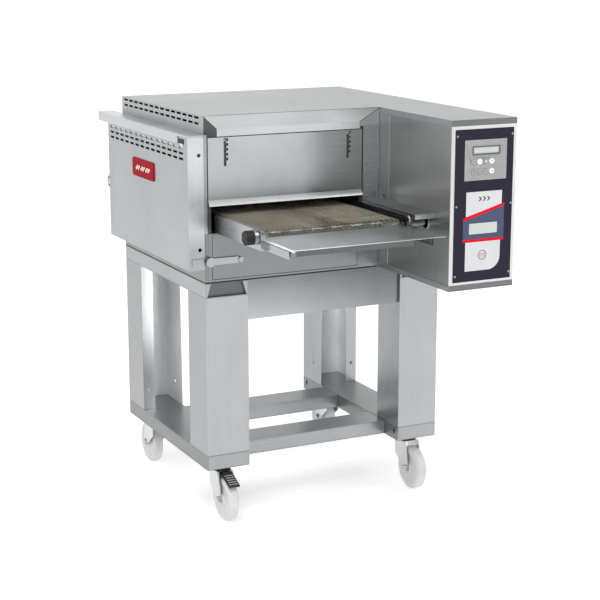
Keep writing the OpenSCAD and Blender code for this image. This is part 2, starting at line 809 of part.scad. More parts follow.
// The two rails, the bars between them and a guide rod along the right one
module conveyor_frame() {
    bar_x = rail_half - sheet - seam;
    guide_x = conv_x + rail_half - 6;
    color("silver") {
        conveyor_rail(-1);
        conveyor_rail(1);
        for (y = bar_ys) block([conv_x - bar_x, y - 10, z_shaft - 6], [conv_x + bar_x, y + 10, z_shaft + 6]);
        rod_y(guide_x, rail_end + 10, rail_rear - 10, rail_top + 4, 3);
        for (y = [rail_end + 20, -200, 200, rail_rear - 20])
            translate([guide_x, y, rail_top - 1]) cylinder(r = 2, h = 5, $fn = 24);
    }
}

// The guard over the driven end of the front shaft: a plate with two lips
module drive_guard() {
    x0 = conv_x + rail_half + 0.5;
    x1 = x_ctrl - 0.3;
    y0 = y_front - 312;
    z0 = z_body + 187;
    z1 = z_body + 198;
    color("silver") {
        block([x0, y0, z1], [x1, y_front - 0.5, z1 + sheet]);
        block([x0, y0, z0], [x1, y0 + sheet, z1 - seam]);
        block([x1 - sheet, y0 + sheet + seam, z0], [x1, y_front - 0.5, z1 - seam]);
    }
}

module belt() {
    color("tan")
    translate([conv_x - belt_w / 2, 0, 0]) rotate([90, 0, 90]) linear_extrude(belt_w) difference() {
        loop_outline(y_shaft, y_rear, belt_out);
        loop_outline(y_shaft, y_rear, belt_in);
    }
}

// A belt shaft with its row of belt pulleys
module belt_shaft(x1, y) {
    rod_x(conv_x - rail_half - bearing_t - 1, x1, y, z_shaft, shaft_r);
    for (x = pulley_xs) rod_x(x - pulley_w / 2, x + pulley_w / 2, y, z_shaft, pulley_r);
}

// The knob that turns the belt by hand, with grip grooves round it
module belt_knob() {
    x = conv_x - rail_half - bearing_t - knob_gap;
    translate([x - knob_t, y_shaft, z_shaft]) rotate([0, 90, 0]) difference() {
        cylinder(r = knob_r, h = knob_t, $fn = 96);
        for (i = [0 : 5]) rotate([0, 0, 30 + i * 60]) translate([knob_r + 2, 0, -1])
            cylinder(r = 5, h = knob_t - 4, $fn = 36);
    }
}

module front_shaft() {
    color("darkgray") {
        belt_shaft(sprocket_x + 14, y_shaft);
        sprocket(y_shaft);
        belt_knob();
    }
}

module rear_shaft() {
    color("darkgray") belt_shaft(conv_x + rail_half + bearing_t + 1, y_rear);
}

// The shelf at the front, with a lip on its left, two slotted runners and a crumb lip below it
module exit_tray() {
    z0 = z_body + 168;
    y0 = y_front - tray_reach;
    color("silver") {
        block([conv_x - 211, y0, z0], [conv_x + 217, rail_end - 1, z0 + sheet]);
        block([conv_x - 202, y0, z0], [conv_x + 202, rail_end + 14, z0 + sheet]);
        block([conv_x - 211, y0, z0 - 4], [conv_x - 211 + sheet, rail_end - 1, z0]);
        for (x = [conv_x - 200.6, conv_x + 200.6]) difference() {
            block([x - 1, y0 + 40, z0 - 22], [x + 1, rail_end - 2, z0]);
            block([x - 3, y0 + 75, z0 - 17], [x + 3, y0 + 150, z0 - 9]);
        }
        block([conv_x - 195, y0 + 18, z0 - 18], [conv_x + 135, y0 + 20, z0]);
    }
}

// ---------------------------------------------------------------- baking chamber

// Two jet boxes, above and below the belt
module air_ducts() {
    color("darkgray") {
        jet_box(duct_up, chamber_top - sheet, duct_up);
        jet_box(chamber_low, duct_down, duct_down - sheet);
    }
}

// Four walls between two heights, and a plate with rows of slots inside them at a third height
module jet_box(z0, z1, z_plate) {
    inner = sheet + seam;
    for (s = [-1, 1])
        span_x(conv_x + s * duct_half, conv_x + s * (duct_half - sheet), [-duct_y, duct_y], [z0, z1]);
    for (s = [0, 1]) mirror([0, s, 0])
        block([conv_x - duct_half + inner, -duct_y, z0], [conv_x + duct_half - inner, sheet - duct_y, z1]);
    difference() {
        block([conv_x - duct_half + inner, inner - duct_y, z_plate],
              [conv_x + duct_half - inner, duct_y - inner, z_plate + sheet]);
        for (y = [-240 : 60 : 240])
            block([conv_x - 170, y - 4, z_plate - 1], [conv_x + 170, y + 4, z_plate + sheet + 1]);
    }
}

// Heating elements: bent tubes beside the fan
module heaters() {
    z = z_body + 310;
    y1 = 200;
    bend = 14;
    color("peru")
    for (s = [-1, 1], k = [0, 1]) {
        x = conv_x + s * (118 + k * 46);
        for (d = [-1, 1]) rod_y(x + d * bend, -y1, y1, z, 4);
        translate([x, y1, z]) rotate_extrude(angle = 180, $fn = 48)
            translate([bend, 0]) circle(r = 4, $fn = 32);
    }
}

// The circulation fan: a bladed wheel under its motor, on one shaft
module circulation_fan() {
    blades = 18;
    color("gray")
    translate([conv_x, 0, fan_z]) {
        cylinder(r = fan_r, h = sheet, $fn = 96);
        cylinder(r = 16, h = fan_h, $fn = 48);
        cylinder(r = fan_shaft_r, h = chamber_top + 30 - fan_z, $fn = 48);
        for (i = [0 : blades - 1]) rotate([0, 0, i * 360 / blades]) translate([fan_r - 26, 0, sheet / 2])
            rotate([0, 0, 35]) cube([24, 1.5, fan_h - sheet / 2]);
    }
}

// The motor of the circulation fan, on the roof of the chamber
module fan_motor() {
    color("slategray") difference() {
        union() {
            translate([conv_x, 0, chamber_top]) cylinder(r = motor_r, h = 84, $fn = 96);
            translate([conv_x, 0, chamber_top + 80]) cylinder(r = motor_r - 14, h = 22, $fn = 96);
        }
        translate([conv_x, 0, chamber_top - 1]) cylinder(r = fan_shaft_r + running, h = 36, $fn = 48);
    }
}

// ---------------------------------------------------------------- fasteners

// A domed screw head on a face, as a short disc
module head(p, turn, r, h) {
    translate(p) rotate(turn) cylinder(r = r, h = h, $fn = 36);
}

// Screws of one hatch and of its fascia
module end_screws() {
    for (x = screw_xs) {
        head([x, y_front + 0.3, screw_z], [90, 0, 0], 5, 3);
        head([x, y_front + recess, screw_z], [90, 0, 0], 2.8, recess - 0.2);
    }
    for (p = [[x_left + 496, z_body + 232], [x_left + 486, z_body + 206]])
        head([p[0], y_front, p[1]], [90, 0, 0], 3.5, 2);
}

// A wing screw that holds a runner of the shelf
module wing_screw() {
    z = z_body + 155;
    rod_x(190, 203.9, tray_screw_y, z, 2.5);
    rod_x(188, 193, tray_screw_y, z, 7);
    block([182, tray_screw_y - 9, z - 2], [189, tray_screw_y + 9, z + 2]);
}

module fasteners() {
    color("dimgray") {
        for (s = [0, 1]) mirror([0, s, 0]) end_screws();
        for (s = [0, 1]) translate([conv_x, 0, 0]) mirror([s, 0, 0]) wing_screw();
        for (x = top_screw_xs)
            head([x, top_screw_y, z_top - top_screw_t], [0, 0, 0], top_screw_r, top_screw_t);
        for (x = [cp_x0 + 5, cp_x1 - 5], z = [cp_z0 + 17, z_body + 225, cp_z1 - 17])
            head([x, y_panel - cp_t, z], [90, 0, 0], 3, 1.5);
    }
}

placed() leg(0, 0);  // leg_front_left
placed() leg(1, 0);  // leg_front_right
placed() leg(0, 1);  // leg_rear_left
placed() leg(1, 1);  // leg_rear_right
placed() lower_frame();
placed() upper_frame();
placed() caster_plates();
placed() fork(0, 0);  // fork_front_left
placed() fork(1, 0);  // fork_front_right
placed() fork(0, 1);  // fork_rear_left
placed() fork(1, 1);  // fork_rear_right
placed() wheel(0, 0);  // wheel_front_left
placed() wheel(1, 0);  // wheel_front_right
placed() wheel(0, 1);  // wheel_rear_left
placed() wheel(1, 1);  // wheel_rear_right
placed() brake(0, 0);  // brake_front_left
placed() brake(1, 1);  // brake_rear_right
placed() body_casing();
placed() chamber_liner();
placed() insulation();
placed() front_fascia();
placed() rear_fascia();
placed() top_cover();
placed() visor();
placed() side_cover();
placed() side_cover_lid();
placed() badge();
placed() front_hatch();
placed() rear_hatch();
placed() panel_latch();
placed() control_floor();
placed() control_housing();
placed() control_side_panel();
placed() control_panel();
placed() keypad();
placed() displays();
placed() key(0);  // key_1
placed() key(1);  // key_2
placed() key(2);  // key_3
placed() key(3);  // key_4
placed() key(4);  // key_5
placed() key(5);  // key_6
placed() key(6);  // key_7
placed() key(7);  // key_8
placed() electronics();
placed() cooling_fan();
placed() gearmotor();
placed() motor_sprocket();
placed() drive_chain();
placed() conveyor_frame();
placed() drive_guard();
placed() belt();
placed() front_shaft();
placed() rear_shaft();
placed() exit_tray();
placed() air_ducts();
placed() heaters();
placed() circulation_fan();
placed() fan_motor();
placed() fasteners();
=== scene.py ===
import json
import math

import bmesh
import bpy
from mathutils import Matrix, Vector


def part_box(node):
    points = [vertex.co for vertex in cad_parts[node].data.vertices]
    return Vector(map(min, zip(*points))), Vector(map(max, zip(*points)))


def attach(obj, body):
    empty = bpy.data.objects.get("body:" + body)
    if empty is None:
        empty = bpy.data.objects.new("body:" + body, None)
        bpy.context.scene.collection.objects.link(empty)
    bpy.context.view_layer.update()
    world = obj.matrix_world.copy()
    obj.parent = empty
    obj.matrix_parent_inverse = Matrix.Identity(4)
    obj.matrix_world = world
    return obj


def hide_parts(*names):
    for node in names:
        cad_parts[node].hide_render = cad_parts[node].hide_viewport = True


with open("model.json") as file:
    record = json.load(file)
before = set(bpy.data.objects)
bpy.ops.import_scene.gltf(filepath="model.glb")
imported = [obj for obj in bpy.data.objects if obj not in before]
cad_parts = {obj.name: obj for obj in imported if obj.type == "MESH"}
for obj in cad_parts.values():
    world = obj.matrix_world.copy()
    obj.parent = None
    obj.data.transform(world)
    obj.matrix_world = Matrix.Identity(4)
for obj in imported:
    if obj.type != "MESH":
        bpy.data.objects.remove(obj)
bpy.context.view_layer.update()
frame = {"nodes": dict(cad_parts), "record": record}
NODES = frame["nodes"]
CORNERS = ("front_left", "front_right", "rear_left", "rear_right")


# -------- places, read from the CAD frame

def middle(node):
    """The middle of a CAD node's box."""
    low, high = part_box(node)
    return (low + high) / 2


BODY_LOW, BODY_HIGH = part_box("body_casing")
SIDE_LOW, SIDE_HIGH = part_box("side_cover")
HATCH_LOW, HATCH_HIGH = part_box("front_hatch")
PANEL_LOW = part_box("control_panel")[0]
BOX_LOW, BOX_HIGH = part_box("control_side_panel")
HOUSING_LOW, HOUSING_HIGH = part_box("control_housing")
BELT_LOW, BELT_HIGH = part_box("belt")
TRAY_LOW, TRAY_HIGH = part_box("exit_tray")
BADGE_LOW, BADGE_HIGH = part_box("badge")

# The body's front plane, and the height just over its lower panels below which the front is darkened as
# painted shade
MOUTH_Y = BODY_LOW.y
SILL_Z = BODY_LOW.z + 0.134
# Where the black grip knob on the left end of the front shaft stops
KNOB_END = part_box("front_shaft")[0].x + 0.0222
# In front of this the top cover lies over the control box alone
BOX_TOP_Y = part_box("front_fascia")[0].y - 0.012
# Just over the height of a hatch's flared edge, which gets a painted highlight, and of the exit shelf's sheet
# with its left lip, below which the shelf gets painted shade
FLARE_H = 0.0165
SHELF_H = 0.0065
# Faces of the frame and the front shaft nearer than this to the belt's middle get painted shade
BELT_REACH = 0.2
# Faces of a leg further in than this from its front or its left side are its inner ones; those of the rear
# legs get painted light
LEG_LIP = 0.01

JOINTS = {joint["name"]: joint for joint in frame["record"]["behaviour"]["joints"]}

# Turns from a piece's own axes, where z points out of the face, to the frame's axes
FACE_FRONT = Matrix.Rotation(math.radians(90), 4, "X")
FACE_REAR = Matrix.Rotation(math.radians(180), 4, "Z") @ FACE_FRONT
FACE_LEFT = Matrix.Rotation(math.radians(-90), 4, "Z") @ FACE_FRONT
FACE_RIGHT = Matrix.Rotation(math.radians(90), 4, "Z") @ FACE_FRONT
FACE_UP = Matrix.Identity(4)


# -------- camera, lights and floor

def add_camera():
    """The camera, in front of the oven and to its left."""
    data = bpy.data.cameras.new("camera")
    data.sensor_width = 36
    data.lens = 92.6
    camera = bpy.data.objects.new("camera", data)
    camera.location = (-1.9126, -3.9294, 1.5767)
    camera.rotation_euler = (math.radians(77.05), 0, math.radians(-26.35))
    bpy.context.collection.objects.link(camera)
    bpy.context.scene.camera = camera


def add_area(name, place, target, size, watts):
    """A square lamp that faces its target."""
    data = bpy.data.lights.new(name, "AREA")
    data.shape = "SQUARE"
    data.size = size
    data.energy = watts
    light = bpy.data.objects.new(name, data)
    light.location = place
    light.rotation_euler = (Vector(target) - Vector(place)).to_track_quat("-Z", "Y").to_euler()
    bpy.context.collection.objects.link(light)
    return light


def add_studio():
    """Three lamps, one under the oven, and a sky that brightens upwards."""
    add_area("key", (-1.6, -2.2, 3.4), (0, 0, 0.6), 2.2, 70)
    add_area("fill", (2.6, -2.4, 2.2), (0, 0, 0.7), 3.0, 15)
    add_area("rim", (0.5, 3.0, 2.8), (0, 0, 0.7), 2.0, 4)
    under_oven = add_area("low", (0, -0.08, 0.46), (0, 0.44, 0.36), 0.3, 1.8)
    under_oven.visible_camera = False
    world = bpy.data.worlds.new("studio")
    bpy.context.scene.world = world
    world.use_nodes = True
    nodes = world.node_tree.nodes
    links = world.node_tree.links
    coordinates = nodes.new("ShaderNodeTexCoord")
    split = nodes.new("ShaderNodeSeparateXYZ")
    sky = nodes.new("ShaderNodeValToRGB")
    stops = ((0.0, 0.42), (0.50, 0.55), (0.60, 0.78), (1.0, 0.95))
    while len(sky.color_ramp.elements) < len(stops):
        sky.color_ramp.elements.new(0.5)
    for element, (place, value) in zip(sky.color_ramp.elements, stops):
        element.position = place
        element.color = (value, value, value, 1)
    height = nodes.new("ShaderNodeMapRange")
    height.inputs["From Min"].default_value = -1
    links.new(coordinates.outputs["Generated"], split.inputs[0])
    links.new(split.outputs["Z"], height.inputs["Value"])
    links.new(height.outputs[0], sky.inputs[0])
    links.new(sky.outputs[0], nodes["Background"].inputs["Color"])
    nodes["Background"].inputs["Strength"].default_value = 1.0


def add_floor():
    """A pale floor that glows faintly."""
    mesh = bpy.data.meshes.new("floor")
    side = 400
    corners = [(-side, -side, 0), (side, -side, 0), (side, side, 0), (-side, side, 0)]
    mesh.from_pydata(corners, [], [(0, 1, 2, 3)])
    floor = bpy.data.objects.new("floor", mesh)
    bpy.context.collection.objects.link(floor)
    made = new_material("pale_floor", {
        "Roughness": 0.9, "Base Color": grey(0.9), "Emission Color": grey(1), "Emission Strength": 0.34})
    mesh.materials.append(made)


# -------- material nodes

def grey(value, tint=(1, 1, 1)):
    return (value * tint[0], value * tint[1], value * tint[2], 1)


def new_material(name, constants):
    """A material whose Principled shader has these constant values."""
    made = bpy.data.materials.new(name)
    made.use_nodes = True
    shader = made.node_tree.nodes["Principled BSDF"]
    for socket, value in constants.items():
        shader.inputs[socket].default_value = value
    return made


def add_node(made, kind, values=None, **settings):
    node = made.node_tree.nodes.new(kind)
    for key, value in settings.items():
        setattr(node, key, value)
    for key, value in (values or {}).items():
        node.inputs[key].default_value = value
    return node


def link(made, source, target):
    made.node_tree.links.new(source, target)


def shader_input(made, socket):
    return made.node_tree.nodes["Principled BSDF"].inputs[socket]


def noise(made, stretch, detail=3.0, distortion=0.0):
    """Noise in the piece's own space, with this many cells per metre along each axis."""
    coordinates = add_node(made, "ShaderNodeTexCoord")
    mapping = add_node(made, "ShaderNodeMapping", {"Scale": stretch})
    texture = add_node(made, "ShaderNodeTexNoise", {"Scale": 1.0, "Detail": detail, "Distortion": distortion})
    link(made, coordinates.outputs["Object"], mapping.inputs["Vector"])
    link(made, mapping.outputs[0], texture.inputs["Vector"])
    return texture.outputs["Fac"]


def mixed(made, a, b, share):
    """A blend of two values, with this share of b."""
    node = add_node(made, "ShaderNodeMix", {"Factor": share})
    link(made, a, node.inputs["A"])
    link(made, b, node.inputs["B"])
    return node.outputs["Result"]


def ranged(made, value, low, high, start=0.3, stop=0.7):
    """Maps start to stop onto low to high."""
    node = add_node(made, "ShaderNodeMapRange", {
        "From Min": start, "From Max": stop, "To Min": low, "To Max": high})
    link(made, value, node.inputs["Value"])
    return node.outputs[0]


def ramp(made, value, stops):
    """A colour ramp with stops of (place, colour)."""
    node = add_node(made, "ShaderNodeValToRGB")
    elements = node.color_ramp.elements
    while len(elements) < len(stops):
        elements.new(0.5)
    for element, (place, colour) in zip(elements, stops):
        element.position = place
        element.color = colour
    link(made, value, node.inputs[0])
    return node.outputs[0]


def faded(made, colour, axis, start, stop, share):
    """Painted shade: scales a colour by the place along an axis, from this share at start to the whole at
    stop.
    """
    coordinates = add_node(made, "ShaderNodeTexCoord")
    split = add_node(made, "ShaderNodeSeparateXYZ")
    scale = add_node(made, "ShaderNodeVectorMath", operation="MULTIPLY")
    link(made, coordinates.outputs["Object"], split.inputs[0])
    link(made, colour, scale.inputs[0])
    link(made, ranged(made, split.outputs[axis], share, 1.0, start, stop), scale.inputs[1])
    return scale.outputs[0]


def bump(made, value, strength, depth):
    """Raises the surface by the value, depth metres high."""
    node = add_node(made, "ShaderNodeBump", {"Strength": strength, "Distance": depth})
    link(made, value, node.inputs["Height"])
    link(made, node.outputs[0], shader_input(made, "Normal"))


# The faint blue cast of stainless sheet
COOL = (0.965, 0.99, 1.01)


def brushed(name, tone, roughness, grain="x", tint=COOL, contrast=0.10, metallic=1.0, fades=()):
    """Satin brushed sheet with its grain along one axis, faint clouds and handling marks.

    Each fade is (axis, start, stop, share), a painted shade: the tone rises from that share at start to the
    whole at stop.
    """
    made = new_material(name, {"Metallic": metallic, "IOR": 1.5})
    along, across = 5.0, 900.0
    stretch = tuple(along if axis == grain else across for axis in "xyz")
    streaks = noise(made, stretch, 4.0)
    clouds = noise(made, (4.5, 4.5, 4.5), 3.0, 0.6)
    marks = noise(made, (24, 24, 24), 3.0, 0.3)
    both = mixed(made, streaks, clouds, 0.55)
    colour = ramp(made, both, [
        (0.34, grey(tone * (1 - contrast), tint)), (0.66, grey(tone * (1 + contrast), tint))])
    for fade in fades:
        colour = faded(made, colour, *fade)
    link(made, colour, shader_input(made, "Base Color"))
    rough = mixed(made, mixed(made, streaks, clouds, 0.4), marks, 0.25)
    link(made, ranged(made, rough, roughness - 0.07, roughness + 0.09), shader_input(made, "Roughness"))
    bump(made, streaks, 0.03, 0.0002)
    return made


def zinc_plate(name):
    """Bright zinc on pressed steel, with a faint crystal pattern and a warm and cool tarnish."""
    made = new_material(name, {"Metallic": 1.0})
    coordinates = add_node(made, "ShaderNodeTexCoord")
    cells = add_node(made, "ShaderNodeTexVoronoi", {"Scale": 260.0})
    link(made, coordinates.outputs["Object"], cells.inputs["Vector"])
    clouds = noise(made, (30, 30, 30), 4.0, 0.8)
    both = mixed(made, cells.outputs["Distance"], clouds, 0.6)
    tone = 0.62
    colour = ramp(made, both, [
        (0.2, grey(tone * 0.86, (0.95, 0.99, 1.05))), (0.7, grey(tone * 1.08, (1.03, 1.0, 0.96)))])
    link(made, colour, shader_input(made, "Base Color"))
    link(made, ranged(made, both, 0.26, 0.42), shader_input(made, "Roughness"))
    bump(made, clouds, 0.15, 0.0002)
    return made


def plastic(name, colour, roughness, grain_size=900.0, wear=0.08, coat=0.0, shine=0.3):
    """Moulded or painted surface with a fine texture and slightly uneven colour."""
    made = new_material(name, {
        "Coat Weight": coat, "Coat Roughness": 0.12, "IOR": 1.5, "Specular IOR Level": shine})
    fine = noise(made, (grain_size,) * 3, 3.0)
    clouds = noise(made, (22, 22, 22), 4.0, 0.5)
    both = mixed(made, fine, clouds, 0.65)
    dark = tuple(channel * (1 - wear) for channel in colour) + (1,)
    light = tuple(min(1, channel * (1 + wear)) for channel in colour) + (1,)
    link(made, ramp(made, both, [(0.33, dark), (0.67, light)]), shader_input(made, "Base Color"))
    link(made, ranged(made, both, roughness - 0.05, roughness + 0.08), shader_input(made, "Roughness"))
    bump(made, fine, 0.2, 0.0001)
    return made


def wheel_nylon(name):
    """Pale nylon with dust and scuffs where it rolls."""
    made = new_material(name, {"IOR": 1.53, "Specular IOR Level": 0.4})
    fine = noise(made, (700, 700, 700), 3.0)
    scuffs = noise(made, (60, 420, 420), 5.0, 1.0)
    clouds = noise(made, (24, 24, 24), 4.0, 0.4)
    both = mixed(made, scuffs, clouds, 0.5)
    colour = ramp(made, both, [
        (0.30, (0.43, 0.43, 0.43, 1)), (0.44, (0.58, 0.58, 0.59, 1)), (0.70, (0.66, 0.66, 0.68, 1))])
    link(made, colour, shader_input(made, "Base Color"))
    link(made, ranged(made, both, 0.36, 0.55), shader_input(made, "Roughness"))
    bump(made, mixed(made, fine, scuffs, 0.5), 0.15, 0.0002)
    return made


def belt_wire(name):
    """Steel wire that oven heat has tanned, with darker and lighter stretches."""
    made = new_material(name, {"Metallic": 0.85})
    clouds = noise(made, (9, 5, 9), 4.0, 0.7)
    fine = noise(made, (420, 420, 420), 3.0)
    both = mixed(made, clouds, fine, 0.4)
    colour = ramp(made, both, [
        (0.30, (0.17, 0.155, 0.115, 1)), (0.5, (0.36, 0.335, 0.265, 1)), (0.72, (0.52, 0.49, 0.41, 1))])
    link(made, colour, shader_input(made, "Base Color"))
    link(made, ranged(made, both, 0.30, 0.55), shader_input(made, "Roughness"))
    bump(made, fine, 0.3, 0.0001)
    return made


def heated_sheet(name, tone):
    """Aluminised sheet of the chamber, baked brown in clouds."""
    made = new_material(name, {"Metallic": 0.9})
    clouds = noise(made, (7, 7, 7), 5.0, 1.0)
    fine = noise(made, (160, 160, 160), 4.0)
    both = mixed(made, clouds, fine, 0.35)
    colour = ramp(made, both, [
        (0.3, (tone * 0.55, tone * 0.45, tone * 0.36, 1)), (0.7, (tone, tone * 0.98, tone * 0.95, 1))])
    link(made, colour, shader_input(made, "Base Color"))
    link(made, ranged(made, both, 0.4, 0.65), shader_input(made, "Roughness"))
    bump(made, fine, 0.2, 0.0002)
    return made


def mineral_wool(name):
    """Matted yellow fibres."""
    made = new_material(name, {"Roughness": 0.95, "Sheen Weight": 0.3})
    fibres = noise(made, (90, 900, 300), 6.0, 2.0)
    colour = ramp(made, fibres, [(0.3, (0.42, 0.33, 0.14, 1)), (0.7, (0.76, 0.68, 0.42, 1))])
    link(made, colour, shader_input(made, "Base Color"))
    bump(made, fibres, 0.8, 0.003)
    return made


STEEL = brushed("steel_casing", 0.44, 0.30, "x")
# Painted shade: the body's front is darker below the sill height
STEEL_FRONT_PAINTED_SHADE = brushed("steel_front_painted_shade", 0.44, 0.29, "x", contrast=0.07, fades=(
    ("Z", SILL_Z, SILL_Z + 0.003, 0.56),))
STEEL_SIDE = brushed("steel_side", 0.41, 0.33, "y")
# Painted light and shade: the side cover's front faces are a lighter copy of its sheet, darkened towards the
# bottom as painted shadow
STEEL_COVER_PAINTED_LIGHT_AND_SHADE = brushed("steel_cover_front_painted_light_and_shade", 0.70, 0.30, "z", fades=(
    ("Z", BODY_LOW.z + 0.09, BODY_LOW.z + 0.20, 0.55),))
# Painted light: the lid's top faces are a lighter copy of its rim's sheet; the catch's leaf and the vent
# baffle take it too
STEEL_LID_PAINTED_LIGHT = brushed("steel_lid_top_painted_light", 0.74, 0.33, "y")
STEEL_LID_RIM = brushed("steel_lid_rim", 0.58, 0.33, "y")
STEEL_TOP = brushed("steel_top", 0.55, 0.22, "y", contrast=0.06)
# Painted shade: the top cover's left faces are a darker copy of its sheet
STEEL_VENT_PAINTED_SHADE = brushed("steel_vent_strip_painted_shade", 0.43, 0.33, "y", contrast=0.06)
# Painted shade: the visor darkens towards both its ends, most towards the right; its front lip keeps the
# plain tone
STEEL_VISOR_PAINTED_SHADE = brushed("steel_visor_painted_shade", 0.62, 0.30, "x", fades=(
    ("X", BODY_HIGH.x - 0.03, 0.02, 0.42), ("X", BODY_LOW.x, -0.1, 0.88)))
STEEL_LIP = brushed("steel_visor_lip", 0.62, 0.30, "x")
# Painted shade: the visor's left faces are a nearly black copy of its sheet
STEEL_GUSSET_PAINTED_SHADE = brushed("steel_gusset_painted_shade", 0.07, 0.38, "y")
# Painted shade: the hatches darken towards the right and towards the bottom
STEEL_HATCH_PAINTED_SHADE = brushed("steel_hatch_painted_shade", 0.55, 0.20, "x", contrast=0.13, fades=(
    ("X", HATCH_HIGH.x, HATCH_LOW.x + 0.1, 0.75), ("Z", HATCH_LOW.z, HATCH_HIGH.z, 0.80)))
# Painted highlight: the hatches' flared lower edge is a lighter copy of their sheet
STEEL_FLARE_PAINTED_HIGHLIGHT = brushed("steel_hatch_flare_painted_highlight", 0.62, 0.28, "x")
STEEL_LEG = brushed("steel_leg", 0.41, 0.33, "z")
# Painted shade: the legs' left faces are a darker copy of their sheet
STEEL_LEG_SIDE_PAINTED_SHADE = brushed("steel_leg_side_painted_shade", 0.34, 0.33, "z")
# Painted light: the rear legs' inner faces are a near-white, less metallic copy of the leg sheet, lightening
# the shade inside the channels
STEEL_WEB_PAINTED_LIGHT = brushed("steel_rear_leg_painted_light", 0.90, 0.40, "z", metallic=0.3)
# Painted shade: the apron darkens towards the top, under the body, and towards the right, under the control
# box
STEEL_APRON_PAINTED_SHADE = brushed("steel_apron_painted_shade", 0.42, 0.28, "x", fades=(
    ("Z", BODY_LOW.z - 0.01, BODY_LOW.z - 0.11, 0.55), ("X", BOX_LOW.x, BODY_LOW.x + 0.25, 0.60)))
STEEL_RAILING = brushed("steel_top_rail", 0.37, 0.30, "y")
STEEL_FRAME_LOW = brushed("steel_lower_frame", 0.36, 0.32, "x")
# Painted shade: the lower frame's side faces are a darker copy of its sheet
STEEL_FRAME_SIDE_PAINTED_SHADE = brushed("steel_lower_rail_painted_shade", 0.23, 0.32, "y")
# Painted shade: the control box's side darkens towards the back and towards the bottom
STEEL_BOX_PAINTED_SHADE = brushed("steel_control_side_painted_shade", 0.50, 0.32, "z", (0.985, 1.0, 0.985), 0.08, fades=(
    ("Y", MOUTH_Y, BOX_LOW.y, 0.76), ("Z", BOX_LOW.z, BOX_HIGH.z, 0.92)))
STEEL_RIM = brushed("steel_rim", 0.50, 0.38, "x", (0.97, 1.0, 1.02))
# Painted shade: the front faces of the control box's rims are a dark copy of the rim sheet, standing in for a
# dark reflection
STEEL_RIM_FRONT_PAINTED_SHADE = brushed("steel_rim_front_painted_shade", 0.19, 0.38, "x", (0.97, 1.0, 1.02))
# Painted light: the control housing's front faces are a lighter copy of its sheet
STEEL_FRAME_PAINTED_LIGHT = brushed("steel_panel_frame_painted_light", 0.66, 0.30, "z", (1, 1, 1), 0.05)
# Painted shade: the rails darken towards the body's front and are darkest behind it; the fan guard and the
# guide rod's hooks share this
STEEL_RAIL_PAINTED_SHADE = brushed("steel_rail_painted_shade", 0.43, 0.24, "y", fades=(("Y", MOUTH_Y, MOUTH_Y - 0.18, 0.15),))
# Painted shade: the conveyor's inner and hidden faces, and the front shaft between its pulleys, are nearly
# black
STEEL_INNER_PAINTED_SHADE = brushed("steel_inner_rail_painted_shade", 0.10, 0.34, "y")
STEEL_GUARD = brushed("steel_guard", 0.34, 0.30, "y")
# Painted shade: the exit shelf darkens towards the right
STEEL_TRAY_PAINTED_SHADE = brushed("steel_tray_painted_shade", 0.90, 0.34, "x", contrast=0.06, fades=(
    ("X", TRAY_HIGH.x - 0.1, TRAY_LOW.x + 0.05, 0.52),))
# Painted shade for faces in shade: the exit shelf's runners and underside, and the end plates set back in the
# top rails
STEEL_SHADE = brushed("steel_painted_shade", 0.14, 0.38, "y")
# Painted shade: the fascias behind the hatches are nearly black, so the gaps and slots beside the hatches
# show dark
STEEL_DARK_PAINTED_SHADE = brushed("steel_mouth_plate_painted_shade", 0.12, 0.45, "x")
STEEL_SHAFT = brushed("steel_shaft", 0.62, 0.22, "x")
STEEL_LATCH = brushed("steel_latch", 0.42, 0.28, "x")
STEEL_SCREW = brushed("steel_screw", 0.42, 0.30, "x")
ZINC = zinc_plate("zinc")
NYLON = wheel_nylon("white_nylon")
PEDAL = plastic("pedal_paint", (0.030, 0.040, 0.042), 0.38, wear=0.2)
RUBBER = plastic("black_rubber", (0.018, 0.02, 0.022), 0.55, 500, wear=0.15)
RED = plastic("red_enamel", (0.30, 0.001, 0.011), 0.40, wear=0.05, shine=0.03)
NAVY = plastic("navy_foil", (0.013, 0.010, 0.024), 0.42, wear=0.1, shine=0.2)
PAD = plastic("keypad_foil", (0.30, 0.31, 0.30), 0.42, shine=0.2)
STRIPE = plastic("red_stripe", (0.66, 0.002, 0.015), 0.34, wear=0.04, shine=0.1)
BLUE = plastic("blue_field", (0.060, 0.078, 0.130), 0.38, shine=0.15)
LABEL = plastic("white_label", (0.56, 0.57, 0.58), 0.40, wear=0.03, shine=0.15)
MARK = plastic("grey_mark", (0.10, 0.10, 0.12), 0.4)
GLASS = plastic("display_window", (0.50, 0.52, 0.50), 0.16, coat=0.3, wear=0.03)
KEY_WHITE = plastic("key_white", (0.80, 0.78, 0.77), 0.25, coat=0.5)
KEY_GREY = plastic("key_grey", (0.30, 0.30, 0.30), 0.3, coat=0.4)
KEY_RED = plastic("key_red", (0.55, 0.08, 0.08), 0.25, coat=0.5)
CREAM = plastic("cream_enamel", (0.80, 0.74, 0.62), 0.28, coat=0.5)
BLACK = plastic("black_plastic", (0.02, 0.02, 0.022), 0.45)
BOARD = plastic("circuit_board", (0.02, 0.13, 0.05), 0.4, 300, wear=0.4)
MOTOR = plastic("motor_paint", (0.13, 0.16, 0.19), 0.4, wear=0.15)
CHAIN = brushed("oiled_chain", 0.20, 0.35, "y", (1, 0.96, 0.9))
WIRE = belt_wire("belt_wire")
CHAMBER = heated_sheet("chamber_sheet", 0.30)
HEATER = heated_sheet("heater_sheath", 0.16)
WOOL = mineral_wool("mineral_wool")


# -------- finishing the CAD nodes

